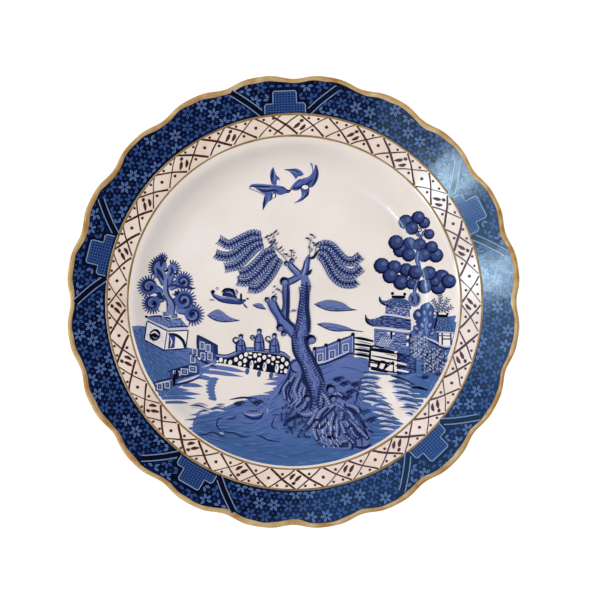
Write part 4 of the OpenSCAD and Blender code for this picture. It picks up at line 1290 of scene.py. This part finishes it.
def tea_house():
    """Two-storey tea house: curved roofs ruled between ridge and eave with pale tile lines, walls with a
    diagonal net, dark posts, and a stack of dark and white terrace steps below."""
    m = Print(0.1)
    m.patch("steel", [(51.5, 2.8), (53, 0.8), (56, 1), (58.5, 2), (66.5, 1.6), (70, -1.5)],
            [(51.5, 2.4), (51.5, 0.2), (54, -1.5), (60, -3), (66, -4), (70, -4.5)])
    upper_roof = ([(54, 0.4), (60, 1.2), (69, -1.6)], [(53.5, -1.2), (60, -3), (70, -4.3)])
    hatch(m, "navy", 0.5, *upper_roof, 4, 5, 0.75)
    hatch(m, "pale", 0.45, *upper_roof, 4, 6, 0.4, 2.0)
    m.plank("mid", [(55, -2.5), (62, -3.6), (69, -4.6)], [(54.5, -7), (62, -8), (69.5, -9)])
    hatch(m, "navy", 0.8, [(55, -2.9), (69, -4.8)], [(55, -6.6), (69, -8.8)], 3, 5, 0.7)
    hatch(m, "mist", 0.6, [(55, -3.2), (69, -5.2)], [(55, -6.4), (69, -8.6)], 3, 5, 0.4, 3.0)
    m.line("mist", 0.9, (53.5, -7), (62, -8.2), (70, -9.7))
    m.patch("deep", [(43, -8), (44.5, -10), (49, -10.2), (53.5, -8), (62, -9), (70, -10.5)],
            [(43, -8.4), (43.5, -11.5), (47.5, -14.5), (54, -15), (62, -16), (70, -17)])
    lower_roof = ([(45, -10.6), (54, -8.8), (69.5, -11)], [(45, -12.6), (54, -14.8), (70, -16.8)])
    hatch(m, "soft", 0.5, *lower_roof, 7, 7, 0.75)
    hatch(m, "ink", 0.5, *lower_roof, 6, 6, 0.5, 2.0)
    m.line("ink", 1.0, (51.2, 3.2), (51.6, 0.2), (54.5, -1.8), (60, -3.4))
    m.line("ink", 1.2, (42.9, -7.6), (43.6, -11.8), (47.5, -14.7))
    m.line("ink", 1.8, (58.5, 3), (66.5, 2.8), tip=0.9, tail=0.9)
    m.dots("ink", 1.9, (58.9, 5.0), (66.2, 4.6))
    m.line("mist", 0.9, (47.5, -14.8), (58, -15.8), (70, -17.8))
    m.plank("mid", [(48, -15.8), (57, -16.7), (69, -18.2)], [(48, -27), (57, -28.2), (67, -29.4)])
    m.line("mist", 0.6, (56, -16.6), (69, -18.5))
    wall = ([(48.3, -17), (69, -19.2)], [(48.3, -26.4), (66.5, -28.8)])
    hatch(m, "navy", 0.8, *wall, 8, 4, 0.8)
    hatch(m, "pale", 0.6, *wall, 7, 4, 0.6, 1.0)
    for k in np.arange(6):
        x = 53.4 + 1.35 * k
        m.line("mist", 0.45, (x, -20.2 - 0.1 * k), (x - 2.6, -24.3), (x - 5, -28.2 + 0.3 * k))
    m.line("ink", 1.1, (58.3, -17.5), (58.3, -22), tip=0.8, tail=0.8)
    m.dots("white", 1.5, (56.7, -18.8), (59.6, -19))
    m.bar("ink", 1.2, (69.6, -19), (69.6, -26.5))
    m.bar("ink", 0.9, (66.5, -23.2), (70, -23.2))
    m.dots("white", 1.6, (68, -21), (67.8, -25.5), long=1.35, turn=90)
    m.plank("white", [(36.5, -21.8), (47, -24)], [(36, -32.8), (46, -34.6)])
    for y0, y1 in ((-21.3, -23.5), (-25, -26.7), (-28.1, -29.8), (-31, -33)):
        m.line("ink", 1.7, (36, y0), (41, y0 - 0.7), (47.5, y1), tip=0.5, tail=0.7)
        m.line("steel", 0.7, (37.5, y0 - 1.8), (46.5, y1 - 1.6))
    m.plank("white", [(46, -27.5), (56, -28.6), (62, -29.4)], [(45, -41), (56, -42.5), (62, -43)])
    m.plank("navy", [(61.5, -30), (66, -31), (73, -33)], [(61.5, -43), (66, -43.8), (73, -42)])
    hatch(m, "blue", 0.9, [(62, -30), (72, -33)], [(62, -42), (72, -42)], 8, 3, 0.7)
    for a, b, width in (((46, -28), (60, -30), 1.4), ((53, -31.4), (61, -32.6), 1.2),
                        ((46, -34.6), (60, -37), 1.5), ((46, -39.6), (56, -41.6), 1.6),
                        ((51, -35.6), (50, -40), 1.4), ((56, -36), (54, -40), 1.2)):
        m.line("ink", 1.35 * width, a, b, tip=0.7, tail=0.7)
    for a, b, width in (((47, -30.2), (61.5, -33.2), 1.3), ((46.5, -33.5), (52, -34.8), 1.1),
                        ((54.5, -35), (57, -35.6), 1.1), ((46, -37.2), (50, -38), 1.3),
                        ((61, -36), (67.5, -37.5), 1.2), ((60.5, -40.2), (68.5, -41.8), 1.3)):
        m.line("white", width, a, b, tip=0.6, tail=0.6)
    for a, b, width in (((47, -26), (54, -27.5), 1.1), ((46, -28.8), (65, -31.5), 1.1),
                        ((46.5, -32), (64, -35.3), 1.1), ((45, -35.8), (52, -37), 1.0),
                        ((44.5, -38.5), (52, -40), 1.1), ((60.5, -38), (73, -40.2), 1.1),
                        ((52, -41), (64, -42.5), 1.1), ((45.8, -26), (45.2, -38.5), 1.4)):
        m.line("ink", width, a, b, tip=0.6, tail=0.6)
    m.dots("white", 1.6, (53, -38.5))
    m.plank("white", [(57.3, -36.6), (57.6, -36.4)], [(55.8, -40), (59, -40.2)])
    m.bar("ink", 1.0, (52, -41), (54, -40), (59.5, -35.5), (59.5, -41.5))
    m.build("tea_house", "blue_print", "centre_print")


def pavilion():
    """Small pavilion on the far right: a sloped roof, white walls with dark posts, a pale base."""
    m = Print(0.3, limit=print_limit)
    m.plank("steel", [(85.5, -9), (88, -9), (91.3, -9)], [(84, -17), (89, -17.6), (95, -17.5)])
    roof = ([(85.5, -9.6), (84.6, -16.6)], [(91, -9.6), (94.6, -17)])
    hatch(m, "navy", 0.5, *roof, 6, 5, 0.7)
    hatch(m, "pale", 0.4, *roof, 5, 5, 0.5, 2.0)
    m.line("ink", 1.6, (85.3, -8.2), (91.5, -8.5), tip=0.9, tail=0.9)
    m.dots("ink", 1.5, (85.6, -6.8), (91.3, -7.2))
    m.line("ink", 1.0, (85.4, -9), (84.6, -13), (83.4, -17.4))
    m.line("mist", 0.8, (84.5, -17.8), (95.5, -18.3))
    m.plank("white", [(85.8, -18.6), (95, -18.8)], [(85.8, -26), (93, -26)])
    for x in (86, 88.3, 93.3):
        m.bar("ink", 0.9, (x, -18.5), (x, -25.6))
    m.bar("ink", 0.8, (88.3, -22), (93.3, -22))
    m.bar("steel", 0.7, (86, -20), (93.3, -20.2))
    m.line("mist", 1.0, (78, -21), (84, -23.5), (89, -26.2), (94, -26.5))
    m.line("navy", 1.0, (79, -22.5), (84, -25), (89, -27.6), (93, -27.8))
    m.build("small_pavilion", "blue_print", "centre_print")


def house():
    """Garden house at the left: a tiled roof, two white walls with dark outlines, a round window and a
    quarter arch, and fret blocks on the ridge."""
    m = Print(0.1, limit=print_limit)
    m.plank("white", [(-87, -11.5), (-75.5, -17.6)], [(-88.5, -22.5), (-77, -28.5)])
    m.plank("white", [(-75.5, -17.6), (-62.5, -16.8)], [(-77, -28.5), (-64, -27.5)])
    roof = [(-87.5, -9), (-80, -8.6), (-73, -10.2), (-67, -10.3), (-63.5, -14.3)]
    eave = [(-87.5, -9.6), (-83, -12), (-79, -13.6), (-74.5, -15.6), (-63.5, -14.9)]
    m.plank("mid", roof, eave)
    hatch(m, "navy", 0.5, roof[1:], eave[1:], 5, 7, 0.75)
    hatch(m, "pale", 0.45, roof[1:], eave[1:], 5, 6, 0.5, 2.0)
    m.line("navy", 1.0, (-87.5, -9), (-80, -8.4), (-73, -9.8), (-66.6, -10))
    m.dots("ink", 1.6, (-87.6, -8.8))
    for tone, width, a, b in (("mist", 0.8, (-87, -10.6), (-74.6, -16.4)),
                              ("navy", 0.8, (-86.8, -11.4), (-75, -17.4)),
                              ("navy", 0.8, (-74.6, -15.2), (-62.5, -14.6)),
                              ("mist", 0.8, (-74.5, -16.4), (-63, -15.6)),
                              ("navy", 0.8, (-75, -17.5), (-63, -16.9)),
                              ("navy", 0.7, (-87.2, -11.6), (-88.6, -22.4)),
                              ("navy", 0.7, (-62.8, -17), (-64.2, -27.6)),
                              ("navy", 0.8, (-88.5, -22.7), (-77, -28.8)),
                              ("navy", 0.8, (-77, -28.8), (-64, -27.8)),
                              ("deep", 0.6, (-75.4, -18), (-76.9, -28.4))):
        m.bar(tone, width, a, b)
    hatch(m, "pale", 0.4, [(-86.6, -13.2), (-76.4, -18.6)], [(-88, -21.8), (-77.4, -27.6)], 4, 3, 0.4)
    m.dots("ink", 6.6, (-82.5, -19.7), long=1.1, turn=70)
    m.line("white", 0.9, (-85, -19), (-82.5, -17.9), (-80, -20))
    m.line("soft", 0.7, (-84, -20.6), (-82.2, -21.8), (-80.8, -21.2))
    m.line("ink", 1.8, (-74.5, -19.2), (-70, -19.8), (-66, -23), (-64.6, -27.3), tip=0.7, tail=0.8)
    m.plank("deep", [(-74, -19.4), (-70.4, -20.6)], [(-74.8, -27.8), (-71, -27.4)])
    m.line("white", 0.7, (-73.4, -21), (-72.6, -24), (-73.4, -27))
    frame_block(m, 4.4, 3.4, (-76, -7.2), (-71, -8.3), lean=0.1)
    m.build("garden_house", "blue_print", "centre_print")


def fences():
    """Fences of both banks: dark rails and posts, with fret frames (pale oblongs round dark ones) under the
    rails."""
    m = Print(0.1, limit=print_limit)
    m.plank("deep", [(-57, -21), (-51, -24), (-45.6, -27)], [(-57, -35), (-51, -36), (-45.6, -33.5)])
    m.plank("deep", [(-74, -41.6), (-66, -39.6), (-56, -37)], [(-74, -47), (-66, -45.4), (-56, -43)])
    m.plank("deep", [(-83.5, -47.6), (-78, -46.6), (-72.5, -45.6)],
            [(-81, -53), (-77, -52.6), (-72.5, -51.6)])
    m.line("navy", 1.8, (-57, -19.7), (-57, -28), tip=0.8, tail=0.8)
    m.line("navy", 1.8, (-56.6, -20.5), (-51, -23.5), (-45.6, -26.4), tip=0.8, tail=0.8)
    frame_block(m, 3.0, 4.6, (-54.5, -26), (-51, -27.5), (-49.8, -32.5), (-54, -32.5), (-58.8, -30),
                (-60, -34))
    m.bar("navy", 2.4, (-46.4, -25.8), (-46.2, -31))
    m.line("navy", 1.4, (-62, -30.5), (-52, -36.4), (-46, -39))
    m.line("mist", 0.9, (-54.5, -39), (-47.5, -36.5))
    m.line("white", 1.0, (-57, -33), (-55.6, -34.5))
    m.line("navy", 1.7, (-75, -41.5), (-66, -39.3), (-57, -36.5))
    frame_block(m, 4.4, 3.8, (-60, -40), (-65, -41.6), (-69.6, -43))
    m.line("ink", 1.6, (-69.5, -41), (-69.5, -46), tip=0.8, tail=0.8)
    m.line("navy", 1.4, (-70, -45), (-63, -44), (-57, -42.5))
    m.line("mist", 1.6, (-69, -48), (-63, -46.5), (-56, -43.5))
    m.line("navy", 1.3, (-72, -49.5), (-64, -48), (-55, -44.8))
    m.line("navy", 1.2, (-82, -47.6), (-72.5, -45.4))
    m.line("mist", 1.1, (-82, -48.8), (-72.5, -46.6))
    m.line("ink", 1.8, (-71, -43), (-71, -50), tip=0.8, tail=0.8)
    frame_block(m, 3.2, 4.0, (-79.4, -50.3), (-75, -49.4))
    rail = [(11.5, -28.5), (18, -27.5), (26.5, -24), (34.5, -21)]
    m.plank("mid", [(12, -29), (18.5, -28), (27, -24.4), (35, -21.4)],
            [(12, -36), (18.5, -35.6), (27, -32.4), (35, -30)])
    frame_block(m, 3.8, 5.2, (15.9, -33.2), (23, -31.3), (31, -27.4), lean=0.18)
    m.line("mid", 2.1, *rail, tip=0.9, tail=0.9)
    m.line("navy", 0.8, *[(x, y + 0.9) for x, y in rail], tip=0.9, tail=0.9)
    m.line("pale", 0.5, *[(x, y - 0.6) for x, y in rail], tip=0.9, tail=0.9)
    for x, y0, y1 in ((12.5, -28, -35.5), (19.3, -26, -36), (27, -23, -33), (35.3, -19.5, -30.5)):
        m.bar("deep", 2.2, (x, y0), (x, y1))
        m.bar("pale", 0.7, (x - 0.3, y0 - 0.8), (x - 0.3, y1 + 0.4))
        m.dots("ink", 2.2, (x, y0 + 0.2))
    m.line("navy", 1.1, (14.5, -38), (20, -36.5), (27, -33.5), (33, -30.8), (36, -31), tip=0.7)
    m.line("mist", 0.8, (14, -36.8), (20, -35.2), (27, -32.2), (33, -29.6), tip=0.7)
    m.build("fret_fences", "blue_print", "centre_print")


bridge_top = [(-46, -33), (-40, -33.5), (-35, -32), (-30, -29.8), (-24, -29.6), (-18, -30.3), (-12, -31),
              (-6, -32.3), (-2, -35), (1.5, -42)]
bridge_low = [(-46, -36.3), (-40, -37), (-35, -38), (-30, -39), (-27, -39.5), (-20, -41), (-14, -42),
              (-8, -43), (-4, -43.5), (1.5, -43.5)]
bridge_rail = [(-46, -32), (-40, -32.5), (-35, -30.7), (-30, -28.6), (-24, -28.3), (-18, -29), (-12, -29.8),
               (-6, -31), (-2, -34)]


def bridge():
    """Arched footbridge: a near-black body between two curves with a light parapet, rows of white oval
    stones, and three tall white openings."""
    m = Print(0.12)
    m.patch("ink", bridge_top, bridge_low, rows=40)
    m.line("blue", 2.2, *bridge_rail, tip=0.8, tail=0.5)
    m.line("navy", 0.7, *[(x, y + 0.9) for x, y in bridge_rail], tip=0.8, tail=0.5)
    m.line("pale", 0.5, *[(x, y + 0.1) for x, y in bridge_rail], tip=0.8, tail=0.5)
    m.dots("white", 2.3, (-43.3, -34.6), (-37.7, -36), (-34.3, -34.3), (-31.3, -32.7), (-28.3, -31.3),
           (-22.9, -32), (-17.4, -33), (-12.1, -33.7), (-6.4, -34.3), (-32, -36.8), (-28.9, -35),
           (-20.5, -34.4), (-15, -35.4), (-4.1, -36.8), (-7.1, -38.6), (-4.6, -41.2), long=1.22, turn=80)
    m.dots("white", 1.3, (-25.7, -30.6), (-20.2, -31.3), (-14.3, -32.1), (-9, -32.9), (-25.9, -33),
           (-9.6, -35.8),
           long=1.8, turn=-8)
    m.dots("white", 1.3, (-45.3, -35.4), (-41, -36.1), (-29.2, -37.9), (-1.8, -39.5), (-7.3, -41.6),
           (-2.1, -42.4), (0.2, -42.6), (-22.8, -35.7), (-21, -38.5), (-12.6, -37), (-40.6, -34.9))
    m.dots("white", 2.2, (-25, -37.6), (-17.2, -38.8), (-10, -39.6), long=2.5, turn=86)
    m.dots("soft", 0.9, (-25.3, -37), (-17.5, -38.2), (-10.3, -39), long=3, turn=86)
    for x, y in ((-27.6, -41.4), (-20.6, -42.8), (-13.4, -43.8)):
        m.dots("steel", 2.4, (x, y), long=1.7, turn=80)
    m.build("footbridge", "blue_print", "centre_print")


def figures():
    """Three small robed figures crossing the bridge: long robes in two blues, round heads, a staff and
    bundles."""
    m = Print(0.2)
    for x, y, foot in ((-31.4, -22.4, -29.6), (-20.4, -19.2, -29.2), (-11.4, -21.8, -30.4)):
        low = y + 0.45 * (foot - y)
        m.patch("deep", [(x - 1.4, y), (x - 2.7, low), (x - 2.9, foot)],
                [(x + 1.4, y), (x + 2.4, low), (x + 3.0, foot)])
        m.patch("mid", [(x - 1.0, y - 0.4), (x - 2.0, low), (x - 1.9, foot + 0.6)],
                [(x + 0.5, y - 0.6), (x + 0.4, low), (x, foot + 0.6)])
        m.line("deep", 1.5, (x - 0.6, y - 1), (x - 2.4, y - 2.4), (x - 4.0, y - 1.6), tail=0.6)
        m.line("soft", 0.6, (x + 1.3, y - 0.8), (x + 1.5, low), (x + 2, foot + 0.8))
        m.line("navy", 0.7, (x - 1.6, y - 0.2), (x - 2.8, low), (x - 3, foot))
        m.line("navy", 0.8, (x + 1.4, y), (x + 2.5, low), (x + 3.1, foot))
        m.line("navy", 0.8, (x - 2.4, low), (x, low - 0.6), (x + 2.3, low))
        m.dots("navy", 2.9, (x, y + 1.3))
        m.dots("pale", 1.7, (x - 0.2, y + 1.0))
        m.line("navy", 0.8, (x - 1.6, y + 2.3), (x, y + 3.0), (x + 1.6, y + 2.3))
    m.line("navy", 0.8, (-22.5, -20.5), (-25, -20), (-25.5, -21.5), (-24, -23), tail=0.7)
    m.line("navy", 0.7, *arc((-15.2, -22), 1.4, 0, 330))
    m.line("navy", 0.9, *arc((-34.5, -22.8), 1.5, 20, 340))
    m.line("deep", 0.8, (-13, -23.4), (-14.6, -24), (-15.6, -23.2))
    m.line("ink", 0.8, (-34.4, -24), (-33.8, -30.6), tail=0.7)
    m.build("bridge_figures", "blue_print", "centre_print")


def roots():
    """Roots and rocks under the willow: light loops with dark lines beside them, knobs with dark middles, and
    broken shading between."""
    m = Print(0.32)
    m.patch("mid", [(15, -56), (11, -64), (8, -72), (12, -80), (20, -87)],
            [(24, -56), (34, -61), (42, -69), (46, -79), (42, -88)], rows=16, columns=8)
    m.patch("mid", [(-1, -34), (-4, -42), (-6, -50), (-6, -58), (-2, -63)],
            [(4, -38), (6, -46), (9, -54), (10, -60), (6, -66)])
    rock = ([(15, -57), (11, -65), (10, -76), (20, -86)], [(24, -57), (34, -62), (42, -70), (42, -86)])
    hatch(m, "navy", 0.9, *rock, 8, 7, 0.7)
    hatch(m, "soft", 0.7, *rock, 9, 8, 0.5, 2)
    hatch(m, "navy", 0.8, [(-1, -35), (-4, -44), (-6, -52), (-2, -62)],
          [(4, -38), (6, -46), (9, -54), (6, -65)], 5, 8, 0.6)
    for width, path in ((1.8, [(-2, -40), (-3, -45), (-6, -50), (-9, -55)]),
                        (2.4, [(13, -66), (10, -70), (6, -75)]),
                        (2.2, [(10, -66), (4, -68), (-2, -70), (-6, -74)])):
        m.line("navy", width, *path)
    m.patch("mid", [(-1.5, -35), (-1.4, -39), (1, -43)], [(2, -33), (5, -36), (5, -41)])
    m.line("navy", 1.0, *arc((1.8, -38.4), 3.6, 80, 280))
    m.line("soft", 0.7, *arc((2.2, -38.4), 1.9, 60, 300))
    light = ((1.3, [(3.5, -45), (1.5, -49), (0.5, -53), (2, -58), (-1, -61)]),
             (1.3, [(5.5, -50), (3.5, -54), (4, -58), (1, -62)]),
             (1.8, [(16, -55), (15.8, -61), (13, -65), (8, -67), (4, -66.5)]),
             (1.6, [(16, -53), (19.5, -57.5), (21, -60.5), (22.5, -62)]),
             (1.8, [(24, -61), (19, -65), (14, -70), (10.5, -74)]), (1.6, [(29, -60), (29, -65), (28, -70)]),
             (1.8, [(22, -70), (18.5, -75), (17.5, -79)]), (1.5, [(25.5, -70), (26, -79)]),
             (2.0, [(30, -65), (34.5, -68), (38.5, -73), (42.5, -79)]),
             (1.7, [(31, -71), (35, -77), (38.5, -80.5)]),
             (1.5, [(32, -61), (37, -63), (39, -66)]), (1.4, [(27, -83.5), (33, -82.5), (33.5, -87)]),
             (1.3, [(22, -56), (26, -54.5), (29, -56)]), (1.4, [(13, -66), (10, -71), (6, -76)]),
             (1.5, [(20, -62), (15, -67), (12, -76), (14, -82)]), (1.5, [(24, -66), (22, -72), (22, -80)]),
             (1.5, [(27, -62), (33, -66), (36, -70)]), (1.4, [(33, -70), (39, -76), (44, -81)]),
             (1.3, [(28, -72), (31, -79), (36, -84)]), (1.2, [(0, -44), (-3, -49), (-4.5, -55), (-2, -60)]),
             (1.2, [(7, -50), (6, -55), (7, -60), (5, -64)]), (1.2, [(-3, -47), (-6, -52), (-5, -58)]))
    for width, path in light:
        m.line("navy", 1.5 * width + 1.1, *[(x + 0.7, y - 0.6) for x, y in path], tip=0.7, tail=0.7)
        m.line("soft", 1.5 * width, *path, tip=0.7, tail=0.6)
        m.fringe("navy", 0.5, path, 1.5, 0.25 * width, 0.7 * width, lean=0.5)
        m.line("pale", 0.2 * width, *[(x - 0.1, y + 0.2) for x, y in path])
    for tone, width, path in (("navy", 1.6, [(4.5, -44), (7, -49), (9.5, -54), (10.5, -60), (9.5, -64)]),
                              ("navy", 1.8, [(20.5, -70), (17, -74.5), (12, -75)]),
                              ("navy", 1.6, [(31, -62.5), (35, -65), (39, -68), (42, -73.5), (44, -75)]),
                              ("navy", 2.2, [(31, -69), (35, -74), (37.5, -78), (41.5, -80.5)]),
                              ("navy", 1.4, [(44, -76), (47.5, -78)]), ("ink", 2.4, [(20, -80), (25, -81)]),
                              ("navy", 2.0, [(30, -78.5), (33.5, -79)]),
                              ("navy", 1.6, [(22, -85.5), (32, -85.8)]),
                              ("navy", 1.6, [(35, -85.8), (42, -86.5), (46, -84.5)]),
                              ("deep", 1.4, [(14, -84), (20, -86)]),
                              ("deep", 1.4, [(5, -70), (8, -74), (6, -79)]),
                              ("deep", 1.2, [(-2, -66), (-5, -70), (-3, -75)])):
        m.line(tone, width, *path)
    for x, y, r in ((8, -57.5, 2.2), (22, -52, 2.8), (23.5, -57.5, 2.2), (13.5, -71.5, 1.8), (34, -75, 1.6)):
        knob(m, x, y, r)
    hatch(m, "deep", 0.8, [(22, -63), (30, -73), (32, -84)], [(30, -62), (40, -72), (45, -82)], 5, 6, 0.6)
    hatch(m, "mist", 0.5, [(14, -72), (14, -80), (18, -87)], [(24, -68), (26, -78), (30, -87)], 5, 5, 0.6,
          1.0)
    hatch(m, "navy", 0.8, [(-8, -60), (-8, -70), (-4, -80)], [(6, -62), (6, -72), (12, -82)], 6, 5, 0.6, 2.0)
    m.build("roots_and_rocks", "blue_print", "centre_print")


tea_house()
pavilion()
house()
fences()
bridge()
figures()
roots()

# ---- Camera, light and floor ----
view_r = 1.969           # distance of the camera above the rim, in metres
rim_top = 0.023          # height of the rim, in metres
camera_over = (0.00384, 0.00112)            # the camera hangs this far from the axis, in metres
floor_reach = 2500.0     # half the side of the floor
air_glow = 0.03          # strength of the white light from all round


def aim(thing, target):
    """Turns a light's or camera's -Z axis towards the target."""
    way = [t - p for t, p in zip(target, thing.location)]
    thing.rotation_euler = Vector(way).to_track_quat("-Z", "Y").to_euler()


def soft_light(name, azimuth, elevation, distance, size, watts, tint, shows):
    """Square soft box at an angle round the plate, facing it. It can be for matt light only, or for shine
    only."""
    data = bpy.data.lights.new(name, "AREA")
    data.shape = "SQUARE"
    data.size = size
    data.energy = watts
    data.color = linear(tint)[:3]
    light = bpy.data.objects.new(name, data)
    a, e = math.radians(azimuth), math.radians(elevation)
    light.location = (distance * math.cos(e) * math.cos(a), distance * math.cos(e) * math.sin(a),
                      distance * math.sin(e))
    light.visible_glossy = shows != "matt"
    light.visible_diffuse = shows != "shine"
    aim(light, (0, 0, 0.01))
    bpy.context.scene.collection.objects.link(light)


def make_floor():
    """Flat sheet of white paper, well past the view on every side."""
    x, y = np.meshgrid([-floor_reach, floor_reach], [-floor_reach, floor_reach])
    points = np.stack([x, y, 0 * x], -1).reshape(-1, 3)
    floor = make_piece("floor", points, [np.array([[0, 1, 3, 2]])], [pale_floor()])


make_floor()
# Each light: name, angle round the plate and angle above it in degrees, distance and side in metres, watts,
# tint, and what it is for.
lights = [("window_light", 195, 36, 2.6, 3.0, 93, "#fff9f6", "matt"),
          ("fill_light", 30, 30, 2.4, 1.6, 36, "#fffcfa", "matt"),
          ("ceiling_bounce", 0, 89.9, 3.0, 3.0, 16, "#f6f8ff", "matt"),
          ("sky_pane", 203, 73, 1.6, 0.62, 1.8, "#a6d2f4", "shine")]
lights += [("window_pane", angle, 73, 1.6, 0.085, 0.42, "#c8eafc", "shine") for angle in (188, 203, 218)]
lights += [("sky_sheen", 155, 70, 1.8, 1.0, 4.8, "#74b0f4", "shine")]
for light_values in lights:
    soft_light(*light_values)

camera_data = bpy.data.cameras.new("camera")
camera_data.lens = 200
camera_data.sensor_width = 36
camera = bpy.data.objects.new("camera", camera_data)
camera.location = (*camera_over, view_r + rim_top)
bpy.context.scene.collection.objects.link(camera)
bpy.context.scene.camera = camera

world = bpy.data.worlds.new("studio_air")
world.use_nodes = True
world.node_tree.nodes["Background"].inputs["Color"].default_value = (1, 1, 1, 1)
world.node_tree.nodes["Background"].inputs["Strength"].default_value = air_glow
bpy.context.scene.world = world
bpy.context.scene.view_settings.view_transform = "Standard"
